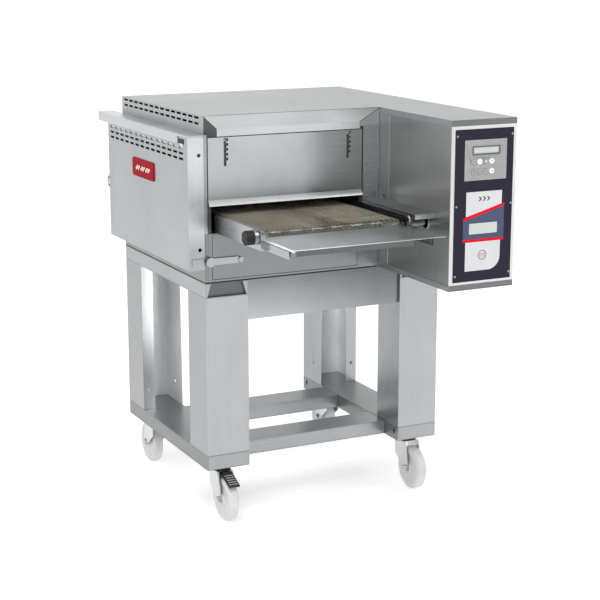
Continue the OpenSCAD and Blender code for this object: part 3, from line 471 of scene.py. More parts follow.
def soften(node, width=0.0006):
    """Rounds the sharp edges of a CAD node, so that they catch the light."""
    thing = NODES[node]
    for polygon in thing.data.polygons:
        polygon.use_smooth = True
    weld = thing.modifiers.new("weld", "WELD")
    weld.merge_threshold = 1e-6
    if node == "side_cover":
        flat = thing.modifiers.new("flat", "DECIMATE")
        flat.decimate_type = "DISSOLVE"
        flat.angle_limit = math.radians(0.5)
        flat.delimit = {"MATERIAL"}
    bevel = thing.modifiers.new("bevel", "BEVEL")
    bevel.width = width
    bevel.segments = 2
    bevel.limit_method = "ANGLE"
    bevel.angle_limit = math.radians(35)
    bevel.use_clamp_overlap = True
    normals = thing.modifiers.new("normals", "WEIGHTED_NORMAL")
    normals.weight = 80


def finish_node(node, made, width=0.0006):
    """Gives a CAD node its material and soft edges."""
    data = NODES[node].data
    data.materials.clear()
    data.materials.append(made)
    for polygon in data.polygons:
        polygon.material_index = 0
    if width:
        soften(node, width)


def accent(node, made, wanted):
    """Gives another material to the faces of a CAD node that wanted(centre, normal) picks."""
    data = NODES[node].data
    data.materials.append(made)
    last = len(data.materials) - 1
    for polygon in data.polygons:
        if wanted(polygon.center, polygon.normal):
            polygon.material_index = last


def finish_cad():
    """Gives every visible CAD node its material."""
    for corner in CORNERS:
        finish_node(f"leg_{corner}", STEEL_LEG)
        finish_node(f"fork_{corner}", ZINC)
        finish_node(f"wheel_{corner}", NYLON)
    plain = {
        "lower_frame": STEEL_FRAME_LOW, "upper_frame": STEEL_RAILING, "caster_plates": ZINC,
        "body_casing": STEEL_FRONT_PAINTED_SHADE, "front_fascia": STEEL_DARK_PAINTED_SHADE, "rear_fascia": STEEL_DARK_PAINTED_SHADE,
        "top_cover": STEEL_TOP, "visor": STEEL_VISOR_PAINTED_SHADE, "side_cover": STEEL_SIDE,
        "side_cover_lid": STEEL_LID_RIM, "front_hatch": STEEL_HATCH_PAINTED_SHADE, "rear_hatch": STEEL_HATCH_PAINTED_SHADE,
        "panel_latch": STEEL_LATCH, "control_housing": STEEL_LEG, "control_side_panel": STEEL_BOX_PAINTED_SHADE,
        "conveyor_frame": STEEL_RAIL_PAINTED_SHADE, "drive_guard": STEEL_GUARD, "front_shaft": STEEL_SHAFT,
        "rear_shaft": STEEL_SHAFT, "exit_tray": STEEL_TRAY_PAINTED_SHADE, "control_floor": STEEL,
        "air_ducts": CHAMBER, "heaters": HEATER, "circulation_fan": CHAMBER, "chamber_liner": CHAMBER,
        "fan_motor": MOTOR, "gearmotor": MOTOR, "motor_sprocket": CHAIN, "drive_chain": CHAIN,
        "electronics": BOARD, "cooling_fan": BLACK, "badge": RED, "control_panel": NAVY,
        "keypad": PAD, "displays": GLASS, "brake_front_left": PEDAL, "brake_rear_right": PEDAL,
    }
    for node, made in plain.items():
        finish_node(node, made)
    finish_node("insulation", WOOL, 0)
    finish_node("fasteners", STEEL_SCREW, 0)
    finish_node("belt", WIRE, 0)


def accent_body():
    """Lit and shaded copies of the sheet on single faces of the oven's body and its control box: painted
    light on the side cover's front, the lid's top, the hatches' flared edges and the housing's front, and
    painted shade on the visor's left faces, the top cover's left faces and the box's front rims.
    """
    accent("side_cover", STEEL_COVER_PAINTED_LIGHT_AND_SHADE, lambda place, normal: normal.y < -0.5)
    accent("side_cover_lid", STEEL_LID_PAINTED_LIGHT, lambda place, normal: normal.z > 0.5)
    accent("visor", STEEL_LIP, lambda place, normal: normal.y < -0.9)
    accent("visor", STEEL_GUSSET_PAINTED_SHADE, lambda place, normal: normal.x < -0.9)
    for node in ("front_hatch", "rear_hatch"):
        accent(node, STEEL_FLARE_PAINTED_HIGHLIGHT, lambda place, normal: place.z < HATCH_LOW.z + FLARE_H)
    accent("control_floor", STEEL_RIM, lambda place, normal: abs(normal.z) < 0.5)
    accent("control_floor", STEEL_RIM_FRONT_PAINTED_SHADE, lambda place, normal: abs(normal.y) > 0.5)
    accent("top_cover", STEEL_VENT_PAINTED_SHADE, lambda place, normal: normal.x < -0.5 and place.x < BODY_LOW.x + 0.001)
    accent("top_cover", STEEL_RIM, lambda place, normal: place.y < BOX_TOP_Y and abs(normal.x) > 0.5)
    accent("top_cover", STEEL_RIM_FRONT_PAINTED_SHADE, lambda place, normal: place.y < BOX_TOP_Y and abs(normal.y) > 0.5)
    accent("control_housing", STEEL_FRAME_PAINTED_LIGHT, lambda place, normal: (
        place.y < MOUTH_Y + 0.001 and normal.y < -0.5))


def accent_stand():
    """Painted shade on single faces of the stand, such as the apron between the legs, the end plates set back
    in its top rails, the lower frame's side faces and the legs' left faces, and painted light on the rear
    legs' inner faces.
    """
    centre_y = middle("body_casing").y
    legs_left, legs_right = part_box("leg_front_left")[1].x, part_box("leg_front_right")[0].x
    accent("upper_frame", STEEL_APRON_PAINTED_SHADE, lambda place, normal: legs_left < place.x < legs_right)
    accent("upper_frame", STEEL_SHADE, lambda place, normal: (
        abs(normal.y) > 0.9 and abs(place.y - centre_y) < 0.301 and not legs_left < place.x < legs_right))
    accent("lower_frame", STEEL_FRAME_SIDE_PAINTED_SHADE, lambda place, normal: abs(normal.x) > 0.9)
    for corner in CORNERS:
        accent(f"leg_{corner}", STEEL_LEG_SIDE_PAINTED_SHADE, lambda place, normal: normal.x < -0.9)
    for corner in ("rear_left", "rear_right"):
        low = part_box(f"leg_{corner}")[0]
        accent(f"leg_{corner}", STEEL_WEB_PAINTED_LIGHT, lambda place, normal: (
            (normal.y < -0.9 and place.y > low.y + LEG_LIP)
            or (normal.x < -0.9 and place.x > low.x + LEG_LIP)))


def accent_conveyor():
    """Painted shade on the conveyor's hidden and inner faces, the exit shelf's underside and the front shaft
    between its pulleys, and the black of the knob on the front shaft.
    """
    belt = middle("belt")
    rear_half = middle("body_casing").y + 0.3
    accent("exit_tray", STEEL_SHADE, lambda place, normal: place.z < TRAY_HIGH.z - SHELF_H)
    accent("conveyor_frame", STEEL_INNER_PAINTED_SHADE, lambda place, normal: (
        place.x > belt.x + 0.15 or place.y > rear_half or abs(place.x - belt.x) < BELT_REACH))
    accent("front_shaft", BLACK, lambda place, normal: place.x < KNOB_END)
    accent("front_shaft", STEEL_INNER_PAINTED_SHADE, lambda place, normal: (
        abs(place.x - belt.x) < BELT_REACH and abs(place.z - belt.z) < 0.0085 and abs(normal.x) < 0.5))


# -------- mesh building

def add_piece(name, mesh_bm, made, body, smooth=35):
    """Turns a bmesh into a piece that rides on a body."""
    bmesh.ops.recalc_face_normals(mesh_bm, faces=mesh_bm.faces)
    mesh = bpy.data.meshes.new(name)
    mesh_bm.to_mesh(mesh)
    mesh_bm.free()
    if smooth:
        mesh.shade_smooth()
        mesh.set_sharp_from_angle(angle=math.radians(smooth))
    for each in made if isinstance(made, (list, tuple)) else [made]:
        mesh.materials.append(each)
    piece = bpy.data.objects.new(name, mesh)
    bpy.context.collection.objects.link(piece)
    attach(piece, body)
    return piece


def add_tube(target, points, radius, sides=8, closed=False, index=0):
    """Sweeps a round tube along points, with flat ends unless it is closed."""
    points = [Vector(point) for point in points]
    count = len(points)
    rings = []
    side_way = None
    for i, point in enumerate(points):
        if closed:
            ahead, behind = points[(i + 1) % count], points[i - 1]
        else:
            ahead, behind = points[min(i + 1, count - 1)], points[max(i - 1, 0)]
        along = (ahead - behind).normalized()
        if side_way is None:
            side_way = along.orthogonal().normalized()
        side_way = (side_way - along * side_way.dot(along)).normalized()
        up = along.cross(side_way)
        ring = []
        for k in range(sides):
            turn = 2 * math.pi * k / sides
            ring.append(target.verts.new(point + radius * (math.cos(turn) * side_way + math.sin(turn) * up)))
        rings.append(ring)
    pairs = list(zip(rings, rings[1:]))
    if closed:
        pairs.append((rings[-1], rings[0]))
    for first, second in pairs:
        for k in range(sides):
            face = target.faces.new((first[k], first[k - 1], second[k - 1], second[k]))
            face.material_index = index
    if not closed:
        target.faces.new(rings[0]).material_index = index
        target.faces.new(rings[-1]).material_index = index


def add_lathe(target, profile, place, turn=FACE_FRONT, sides=32, index=0):
    """Turns a profile of (radius, height) about the z axis of a face, from its first point to its last."""
    matrix = Matrix.Translation(place) @ turn
    rings = []
    for radius, height in profile:
        if radius < 1e-7:
            rings.append([target.verts.new(matrix @ Vector((0, 0, height)))])
            continue
        ring = []
        for k in range(sides):
            angle = 2 * math.pi * k / sides
            spot = Vector((radius * math.cos(angle), radius * math.sin(angle), height))
            ring.append(target.verts.new(matrix @ spot))
        rings.append(ring)
    for first, second in zip(rings, rings[1:]):
        for k in range(sides):
            corners = [first[k % len(first)], first[(k + 1) % len(first)],
                       second[(k + 1) % len(second)], second[k % len(second)]]
            corners = list(dict.fromkeys(corners))
            if len(corners) > 2:
                target.faces.new(corners).material_index = index
    for ring in (rings[0], rings[-1]):
        if len(ring) > 2:
            target.faces.new(ring).material_index = index


def add_plate(target, outline, depth, place, turn=FACE_FRONT, index=0, edge=0.0):
    """Extrudes a flat outline by depth out of a face; edge rounds its outer rim."""
    matrix = Matrix.Translation(place) @ turn
    low = [target.verts.new(matrix @ Vector((x, y, 0))) for x, y in outline]
    high = [target.verts.new(matrix @ Vector((x, y, depth))) for x, y in outline]
    faces = [target.faces.new(low), target.faces.new(high)]
    for k in range(len(outline)):
        faces.append(target.faces.new((low[k], low[k - 1], high[k - 1], high[k])))
    for face in faces:
        face.material_index = index
    if edge:
        rim = list(faces[1].edges)
        bmesh.ops.bevel(target, geom=rim, offset=edge, segments=2, affect="EDGES", material=-1)


def add_block(target, low, high, edge):
    """A block between two corners, with rounded edges."""
    made = bmesh.ops.create_cube(target, size=1)
    size = Vector(high) - Vector(low)
    centre = (Vector(high) + Vector(low)) / 2
    for vert in made["verts"]:
        vert.co = centre + vert.co * size
    edges = list({e for vert in made["verts"] for e in vert.link_edges})
    bmesh.ops.bevel(target, geom=edges, offset=edge, segments=2, affect="EDGES", material=-1)


def rounded(width, height, radii, steps=8):
    """A rectangle's outline about the middle, with the radius of each corner from the lower left round."""
    outline = []
    signs = ((-1, -1, 180), (1, -1, 270), (1, 1, 0), (-1, 1, 90))
    for (sx, sy, start), radius in zip(signs, radii):
        cx = sx * (width / 2 - radius)
        cy = sy * (height / 2 - radius)
        for k in range(steps + 1 if radius else 1):
            turn = math.radians(start + 90 * k / steps)
            outline.append((cx + radius * math.cos(turn), cy + radius * math.sin(turn)))
    return outline


# -------- conveyor belt

WIRE_R = 0.0008
WEAVE = 0.008


def belt_frame(along, loop):
    """The place and the outward direction on the belt's middle line, about the loop's middle."""
    half, radius = loop
    bend = math.pi * radius
    along %= 4 * half + 2 * bend
    if along < 2 * half:
        return Vector((0, along - half, radius)), Vector((0, 0, 1))
    along -= 2 * half
    if along < bend:
        turn = along / radius
        out = Vector((0, math.sin(turn), math.cos(turn)))
        return Vector((0, half, 0)) + radius * out, out
    along -= bend
    if along < 2 * half:
        return Vector((0, half - along, -radius)), Vector((0, 0, -1))
    turn = math.pi + (along - 2 * half) / radius
    out = Vector((0, math.sin(turn), math.cos(turn)))
    return Vector((0, -half, 0)) + radius * out, out


def add_belt():
    """Chain-link wire mesh: zigzag strands across the belt, each hooked into the next."""
    centre = (BELT_LOW + BELT_HIGH) / 2
    outer = (BELT_HIGH.z - BELT_LOW.z) / 2
    radius = outer - 0.0015
    half = BELT_HIGH.y - centre.y - outer
    length = 4 * half + 2 * math.pi * radius
    strands = 2 * round(length / WEAVE / 2)
    pitch = length / strands
    width = BELT_HIGH.x - BELT_LOW.x - 2 * WIRE_R
    steps = round(width / (WEAVE / 2))
    mesh_bm = bmesh.new()
    for k in range(strands):
        points = []
        for j in range(steps + 1):
            side = 1 if (j + k) % 2 else -1
            place, out = belt_frame(k * pitch + side * 0.56 * pitch, (half, radius))
            lift = 0.0005 * (1 if (j // 2 + k) % 2 else -1)
            across = Vector((BELT_LOW.x + WIRE_R + width * j / steps, centre.y, centre.z))
            points.append(across + place + lift * out)
        add_tube(mesh_bm, points, WIRE_R, 4)
    piece = add_piece("belt_mesh", mesh_bm, WIRE, "oven", 80)
    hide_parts("belt")


# -------- screws and knobs

def islands(node):
    """The box of each separate solid of a CAD node, as (lowest corner, highest corner)."""
    loose = bmesh.new()
    loose.from_mesh(NODES[node].data)
    bmesh.ops.remove_doubles(loose, verts=loose.verts, dist=1e-6)
    left = set(loose.verts)
    boxes = []
    while left:
        stack = [left.pop()]
        found = []
        while stack:
            vert = stack.pop()
            found.append(vert.co.copy())
            for edge in vert.link_edges:
                other = edge.other_vert(vert)
                if other in left:
                    left.remove(other)
                    stack.append(other)
        boxes.append((Vector(map(min, zip(*found))), Vector(map(max, zip(*found)))))
    loose.free()
    return sorted(boxes, key=lambda pair: tuple(round(c, 4) for c in (*pair[0], *pair[1])))


def add_cross_screw(target, place, turn, radius, height):
    """A pan-head screw with a cross recess."""
    profile = [(radius * 0.98, 0), (radius, height * 0.3), (radius * 0.86, height * 0.75),
               (radius * 0.5, height * 0.97), (0, height)]
    add_lathe(target, profile, place, turn, 28)
    matrix = Matrix.Translation(place) @ turn
    for angle in (0, 90):
        spin = Matrix.Rotation(math.radians(45 + angle), 4, "Z")
        corners = ((-0.55, -0.1), (0.55, -0.1), (0.55, 0.1), (-0.55, 0.1))
        outline = [(x * radius, y * radius) for x, y in corners]
        add_plate(target, outline, 0.00012, matrix @ Vector((0, 0, height * 0.93)), turn @ spin, 1)


def add_wing_screw(target, low, high):
    """A screw along X with a collar and two rounded wings towards the belt's middle."""
    inwards = high.x < middle("belt").x
    place = Vector(((low.x if inwards else high.x), (low.y + high.y) / 2, (low.z + high.z) / 2))
    turn = FACE_LEFT if not inwards else FACE_RIGHT
    length = high.x - low.x
    matrix = Matrix.Translation(place) @ turn
    start = matrix @ Vector((0, 0, 0.0003))
    add_tube(target, [start, matrix @ Vector((0, 0, length - 0.006))], 0.0025, 12)
    add_lathe(target, [(0.0062, 0), (0.007, 0.001), (0.007, 0.004), (0.0055, 0.005)],
              matrix @ Vector((0, 0, length - 0.0115)), turn, 20)
    outline = rounded(0.018, 0.0068, (0.003,) * 4, 5)
    wing_turn = turn @ Matrix.Rotation(math.radians(90), 4, "X")
    add_plate(target, outline, 0.003, matrix @ Vector((0, 0.0015, length - 0.0035)), wing_turn, edge=0.0006)


def add_fasteners():
    """Screws with cross recesses, and the shelf's wing screws."""
    mesh_bm = bmesh.new()
    for low, high in islands("fasteners"):
        size = high - low
        place = (low + high) / 2
        if size.x > 0.02:
            add_wing_screw(mesh_bm, low, high)
        elif size.z < size.x * 0.7:
            place.z = low.z
            add_cross_screw(mesh_bm, place, FACE_UP, size.x / 2, size.z)
        else:
            front = place.y < middle("body_casing").y
            place.y = high.y if front else low.y
            add_cross_screw(mesh_bm, place, FACE_FRONT if front else FACE_REAR, size.x / 2, size.y)
    piece = add_piece("screws", mesh_bm, [STEEL_SCREW, BLACK], "oven")
    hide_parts("fasteners")


# -------- casters

def add_wheel(corner):
    """A wheel turned from pairs of radius and share of its half width."""
    low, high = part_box(f"wheel_{corner}")
    centre = (low + high) / 2
    radius = (high.z - low.z) / 2
    half = (high.x - low.x) / 2
    mesh_bm = bmesh.new()
    profile = []
    for side in (-1, 1):
        face = [(0.0054, 0.98), (0.0125, 1.0), (0.0145, 0.94), (0.0155, 0.73), (radius - 0.023, 0.68),
                (radius - 0.0165, 0.82), (radius - 0.0145, 0.84)]
        shoulder = [(radius - 0.0125, 0.82)]
        for k in range(7):
            turn = math.radians(15 * k)
            shoulder.append((radius - 0.0085 + 0.0085 * math.sin(turn), 0.82 - 0.38 * (1 - math.cos(turn))))
        points = face + shoulder
        profile += [(r, side * h * half) for r, h in (points if side < 0 else reversed(points))]
    add_lathe(mesh_bm, profile + [profile[0]], centre, FACE_RIGHT, 96)
    wheel = add_piece(f"caster_wheel_{corner}", mesh_bm, NYLON, f"wheel_{corner}", 40)
    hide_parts(f"wheel_{corner}")


def add_hex(target, place, turn, radius, height):
    """A hexagon head or nut with a chamfered top."""
    profile = [(radius, 0), (radius, height * 0.8), (radius * 0.88, height)]
    add_lathe(target, profile, place, turn, 6)
    thread = [(radius * 0.45, height - 0.0001), (radius * 0.42, height + 0.0012), (0, height + 0.0014)]
    add_lathe(target, thread, place, turn, 20)


def add_caster_details(corner):
    """The axle's nuts and the swivel's seal."""
    fork_low, fork_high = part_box(f"fork_{corner}")
    axle = Vector(JOINTS[f"roll_{corner}"]["pos_m"])
    swivel = Vector(JOINTS[f"swivel_{corner}"]["pos_m"])
    mesh_bm = bmesh.new()
    for turn, side in ((FACE_LEFT, -1), (FACE_RIGHT, 1)):
        face = (fork_low.x if side < 0 else fork_high.x) - side * 0.004
        place = Vector((face, axle.y, axle.z))
        add_lathe(mesh_bm, [(0.0096, 0), (0.0096, 0.0012), (0.0055, 0.0012)], place, turn)
        add_hex(mesh_bm, place + Vector((side * 0.0012, 0, 0)), turn, 0.0082, 0.0048)
    add_piece(f"axle_nuts_{corner}", mesh_bm, ZINC, f"caster_{corner}")
    ring_bm = bmesh.new()
    base = Vector((swivel.x, swivel.y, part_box("caster_plates")[1].z - 0.0185))
    profile = [(0.0283, 0), (0.0312, 0.0006), (0.0318, 0.003), (0.0308, 0.0056), (0.0283, 0.0062),
               (0.0283, 0)]
    add_lathe(ring_bm, profile, base, FACE_UP, 64)
    add_piece(f"swivel_seal_{corner}", ring_bm, RUBBER, f"caster_{corner}")


def add_plate_bolts():
    """The four bolts that hold each caster plate."""
    mesh_bm = bmesh.new()
    for low, high in islands("caster_plates"):
        for x in (low.x + 0.011, high.x - 0.011):
            for y in (low.y + 0.010, high.y - 0.010):
                flat = Matrix.Rotation(math.pi, 4, "X")
                add_hex(mesh_bm, Vector((x, y, high.z - 0.004)), flat, 0.0065, 0.0045)
    add_piece("caster_plate_bolts", mesh_bm, ZINC, "oven")


def add_pedal(corner):
    """A brake pedal: a pressed plate with cheeks, a ribbed tread and the shoe below it."""
    low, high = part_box(f"brake_{corner}")
    pin = Vector(JOINTS[f"brake_pedal_{corner}"]["pos_m"])
    away = 1 if middle(f"brake_{corner}").y > pin.y else -1
    mesh_bm = bmesh.new()
    turn = Matrix(((0, 0, 1, 0), (away, 0, 0, 0), (0, 1, 0, 0), (0, 0, 0, 1)))
    width = high.x - low.x
    left = Vector((low.x, pin.y, pin.z))
    tread = [(-0.001, 0.0070), (0.018, 0.0058), (0.0690, -0.0172), (0.0675, -0.0206), (0.018, 0.0018),
             (-0.001, 0.0035)]
    add_plate(mesh_bm, tread, width, left, turn)
    cheek = [(-0.001, 0.0068), (0.018, 0.0056), (0.0680, -0.0174), (0.0665, -0.0208), (0.030, -0.0058),
             (0.012, -0.0062)]
    eye_r = 0.0068
    for k in range(9):
        angle = math.radians(250 + 20 * k)
        cheek.append((-eye_r * math.cos(angle), eye_r * math.sin(angle)))
    for x in (0.0, width - 0.003):
        add_plate(mesh_bm, cheek, 0.003, left + Vector((x, 0, 0)), turn)
    shoe = [(0.015, 0.003), (0.016, -0.0052), (0.023, -0.0056), (0.024, 0.001)]
    add_plate(mesh_bm, shoe, width - 0.010, left + Vector((0.005, 0, 0)), turn)
    slope = Vector((0, away * 0.051, -0.023)).normalized()
    start = Vector((0, pin.y + away * 0.018, pin.z + 0.0058))
    for k in range(5):
        spot = start + slope * (0.010 + 0.009 * k)
        rib = [(low.x + 0.003, spot.y, spot.z), (high.x - 0.003, spot.y, spot.z)]
        add_tube(mesh_bm, rib, 0.0014, 8, index=1)
    piece = add_piece(f"pedal_{corner}", mesh_bm, [PEDAL, ZINC], f"brake_{corner}")
    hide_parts(f"brake_{corner}")


# -------- control panel

def panel_spot(x, z, out=0.0):
    """A point on the panel's face, in mm from the control box's left side and the body's underside."""
    return Vector((HOUSING_LOW.x + x / 1000, PANEL_LOW.y - out / 1000, BODY_LOW.z + z / 1000))


def add_flat(name, outline, made, out=0.0, depth=0.35):
    """A printed field on the panel: an outline in the panel's own millimetres."""
    mesh_bm = bmesh.new()
    metres = [(x / 1000, z / 1000) for x, z in outline]
    add_plate(mesh_bm, metres, depth / 1000, panel_spot(0, 0, out), FACE_FRONT)
    return add_piece(name, mesh_bm, made, "oven", 0)


def box_outline(x0, x1, z0, z1, radii=(0, 0, 0, 0)):
    """A box on the panel, with a radius for each corner."""
    middle_x, middle_z = (x0 + x1) / 2, (z0 + z1) / 2
    return [(x + middle_x, z + middle_z) for x, z in rounded(x1 - x0, z1 - z0, radii)]


def add_panel_graphics():
    """Labels, the blue field between two red stripes, arrow heads and a dial with heat marks."""
    x0, x1 = 47, 157
    left, right = 39, 165
    add_flat("label_upper", [(x0, 196), (x1, 225), (x1, 261), (x0, 261)], LABEL, 0.02)
    field = [(left, 135), (right, 135), (right, 224), (left, 189)]
    add_flat("field_blue", field, BLUE, 0.02, 0.30)
    stripe = [(left, 185), (right, 220), (right, 228), (left, 193)]
    add_flat("stripe_upper", stripe, STRIPE, 0.04, 0.45)
    stripe = [(left, 128.5), (right, 128.5), (right, 135.5), (left, 135.5)]
    add_flat("stripe_lower", stripe, STRIPE, 0.04, 0.45)
    add_flat("label_lower", box_outline(x0, x1 - 2, 51, 128, (0, 36, 0, 0)), LABEL, 0.02)
    for k in range(3):
        x = 84 + 13 * k
        chevron = [(x, 236), (x + 5, 236), (x + 11, 242), (x + 5, 248), (x, 248), (x + 6, 242)]
        add_flat(f"chevron_{k + 1}", chevron, BLUE, 0.3, 0.2)
    ring_bm = bmesh.new()
    ring = [(0.013, 0), (0.013, 0.0002), (0.0112, 0.0002), (0.0112, 0), (0.013, 0)]
    add_lathe(ring_bm, ring, panel_spot(100, 92, 0.3), sides=48)
    add_piece("dial_ring", ring_bm, MARK, "oven")
    for k in range(3):
        wave = bmesh.new()
        points = []
        for i in range(13):
            points.append(panel_spot(93.5 + 6.5 * k + 1.1 * math.sin(i * math.pi / 4), 86 + i, 0.45))
        add_tube(wave, points, 0.0007, 6)
        add_piece(f"heat_mark_{k + 1}", wave, STRIPE, "oven")


def add_display_frames():
    """Dark rounded frames round the display and a light bezel round the lower window."""
    for name, box, made, slot, grow, out in (
            ("display_frame", (64, 143, 361, 378), MARK, "black_plastic", 3.2, 3.0),
            ("window_frame", (59, 142, 151, 176), LABEL, "label_white", 1.6, 0.3)):
        x0, x1, z0, z1 = box
        outer = box_outline(x0 - grow, x1 + grow, z0 - grow, z1 + grow, (3, 3, 3, 3))
        inner = box_outline(x0 + 0.2, x1 - 0.2, z0 + 0.2, z1 - 0.2, (1.2,) * 4)
        mesh_bm = bmesh.new()
        loops = []
        for ring, lift in ((outer, out), (outer, out + 0.9), (inner, out + 0.9), (inner, out)):
            loops.append([mesh_bm.verts.new(panel_spot(x, z, lift)) for x, z in ring])
        for first, second in zip(loops, loops[1:] + loops[:1]):
            for k in range(len(outer)):
                mesh_bm.faces.new((first[k], first[k - 1], second[k - 1], second[k]))
        add_piece(name, mesh_bm, made, "oven", 30)


def add_key_mark(target, kind, face):
    """The raised mark on a button: a dot, a ring, two bars, or an arrow head up or down."""
    height = 0.0003
    if kind == "dot":
        add_lathe(target, [(0.0022, 0), (0.0021, height), (0, 0.0004)], face, FACE_FRONT, 20, 1)
    elif kind == "ring":
        ring = [(0.003, 0), (0.003, height), (0.0019, height), (0.0019, 0), (0.003, 0)]
        add_lathe(target, ring, face, FACE_FRONT, 24, 1)
    elif kind == "bars":
        bar = rounded(0.0052, 0.0013, (0.0005,) * 4, 3)
        for z in (-0.0014, 0.0014):
            add_plate(target, bar, height, face + Vector((0, 0, z)), FACE_FRONT, 1)
    else:
        tip = 0.0027 if kind == "up" else -0.0027
        head = [(-0.0026, -tip * 0.7), (0.0026, -tip * 0.7), (0, tip)]
        add_plate(target, head, height, face, FACE_FRONT, 1)


def add_keys():
    """Domed push buttons, each with a small raised mark."""
    looks = (
        (KEY_GREY, "dot", KEY_RED), (KEY_WHITE, "up", KEY_RED), (KEY_GREY, "bars", KEY_WHITE),
        (KEY_WHITE, "ring", KEY_RED), (KEY_GREY, "down", MARK), (KEY_GREY, "up", MARK),
        (KEY_GREY, "bars", KEY_RED), (KEY_WHITE, "dot", KEY_RED))
    collar = 0.0012
    for n, (cap, kind, ink) in enumerate(looks, 1):
        low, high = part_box(f"key_{n}")
        radius = (high.x - low.x) / 2 - collar
        place = Vector(((low.x + high.x) / 2, high.y, (low.z + high.z) / 2))
        depth = high.y - low.y
        mesh_bm = bmesh.new()
        profile = [(radius + collar, 0), (radius + collar, 0.0009), (radius, 0.0009),
                   (radius, depth - 0.0009), (radius * 0.95, depth - 0.0003),
                   (radius * 0.80, depth - 0.0002), (radius * 0.76, depth - 0.0006),
                   (radius * 0.55, depth - 0.0003), (radius * 0.25, depth - 0.0001), (0, depth)]
        add_lathe(mesh_bm, profile, place, FACE_FRONT, 40)
        add_key_mark(mesh_bm, kind, Vector((place.x, low.y + 0.0002, place.z)))
        piece = add_piece(f"button_{n}", mesh_bm, [cap, ink], f"key_{n}")
        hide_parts(f"key_{n}")


# -------- smaller details of the body

def add_badge_marks():
    """Three wavy heat marks on the badge, in cream."""
    centre = (BADGE_LOW + BADGE_HIGH) / 2
    face_x = BADGE_LOW.x
    mesh_bm = bmesh.new()
    for k in (-1, 0, 1):
        points = []
        for i in range(25):
            points.append((face_x, centre.y + 0.038 * k - 0.016 + 0.0013 * i,
                           centre.z + 0.006 * math.sin(i * math.pi / 6)))
        add_tube(mesh_bm, points, 0.0014, 8)
    add_piece("badge_marks", mesh_bm, CREAM, "oven")


def add_cover_catch():
    """A black spring catch at the front top of the side cover, under the lid, whose black is painted shade
    for the dark cut it fills, with a pale leaf below it as a painted highlight.
    """
    x0 = SIDE_LOW.x
    y0 = SIDE_LOW.y + 0.029
    z0 = BODY_LOW.z + 0.376
    catch = bmesh.new()
    add_block(catch, (x0 - 0.0018, y0, z0), (x0 + 0.004, y0 + 0.034, z0 + 0.012), 0.0006)
    add_piece("cover_catch", catch, BLACK, "oven")
    # Painted highlight: a pale leaf under the catch
    leaf = bmesh.new()
    add_block(leaf, (x0 - 0.0012, y0 + 0.004, z0 - 0.007), (x0 - 0.0002, y0 + 0.024, z0), 0.0003)
    add_piece("cover_catch_painted_highlight", leaf, STEEL_LID_PAINTED_LIGHT, "oven")


def add_vent_baffle():
    """A strip of sheet close behind the top row of slots in the side cover, in the lid's lighter tone, so
    that those slots show pale: painted light.
    """
    mesh_bm = bmesh.new()
    x0 = SIDE_LOW.x + 0.0035
    z0 = BODY_LOW.z + 0.365
    margin = 0.005
    low = (x0, SIDE_LOW.y + margin, z0 - 0.005)
    add_block(mesh_bm, low, (x0 + 0.001, SIDE_HIGH.y - margin, z0 + 0.005), 0.0003)
    add_piece("vent_baffle", mesh_bm, STEEL_LID_PAINTED_LIGHT, "oven")


def add_seam_lines():
    """Dark cord along the joints of the visor with the top and of the body with the stand, painted shade for
    the shadow in these joints.
    """
    mesh_bm = bmesh.new()
    proud = 0.0006
    low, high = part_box("visor")
    y, z = high.y + 0.0001, high.z - 0.0001
    add_tube(mesh_bm, [(low.x + 0.002, y, z), (high.x - 0.002, y, z)], proud, 6)
    y = BODY_LOW.y - proud
    start = (BODY_LOW.x + 0.001, y, BODY_LOW.z - 0.0015)
    add_block(mesh_bm, start, (BOX_LOW.x, y + 0.0008, BODY_LOW.z + 0.0020), 0.0002)
    x = BODY_LOW.x - proud
    start = (x, BODY_LOW.y, BODY_LOW.z - 0.0012)
    add_block(mesh_bm, start, (x + 0.0008, BODY_HIGH.y, BODY_LOW.z + 0.0012), 0.0002)
    add_piece("seam_shadow_cord", mesh_bm, RUBBER, "oven")


def add_bearing_faces():
    """Seals and retaining rings on the bearings, all but the one behind the belt knob."""
    for end in ("front", "rear"):
        shaft = Vector(JOINTS[f"{end}_shaft_turn"]["pos_m"])
        low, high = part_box("conveyor_frame")
        for side, turn, face in ((-1, FACE_LEFT, low.x), (1, FACE_RIGHT, high.x)):
            if (end, side) == ("front", -1):
                continue
            place = Vector((face, shaft.y, shaft.z))
            ring = bmesh.new()
            add_lathe(ring, [(0.0198, -0.001), (0.0198, 0.0006), (0.0190, 0.0012), (0.0165, 0.0012),
                             (0.0158, 0.0002), (0.0158, -0.001), (0.0198, -0.001)], place, turn, 64)
            add_lathe(ring, [(0.0108, -0.001), (0.0108, 0.0006), (0.0088, 0.0006), (0.0088, -0.001),
                             (0.0108, -0.001)], place, turn, 48)
            name = "left" if side < 0 else "right"
            add_piece(f"bearing_ring_{end}_{name}", ring, STEEL_SHAFT, "oven")
            seal = bmesh.new()
            add_lathe(seal, [(0.0158, -0.0005), (0.0158, 0.0002), (0.0108, 0.0002), (0.0108, -0.0005),
                             (0.0158, -0.0005)], place, turn, 48)
            add_piece(f"bearing_seal_{end}_{name}", seal, BLACK, "oven")


def add_shaft_end_caps():
    """A centred dimple ring on the left end of each belt shaft, black on the front one's knob."""
    for end, made in (("front", BLACK), ("rear", STEEL_SHAFT)):
        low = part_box(f"{end}_shaft")[0]
        shaft = Vector(JOINTS[f"{end}_shaft_turn"]["pos_m"])
        mesh_bm = bmesh.new()
        profile = [(0.0074, 0), (0.0066, 0.0008), (0.003, 0.0008), (0.002, 0.0001), (0, 0.0001)]
        add_lathe(mesh_bm, profile, Vector((low.x, shaft.y, shaft.z)), FACE_LEFT, 32)
        add_piece(f"shaft_cap_{end}", mesh_bm, made, f"{end}_shaft")


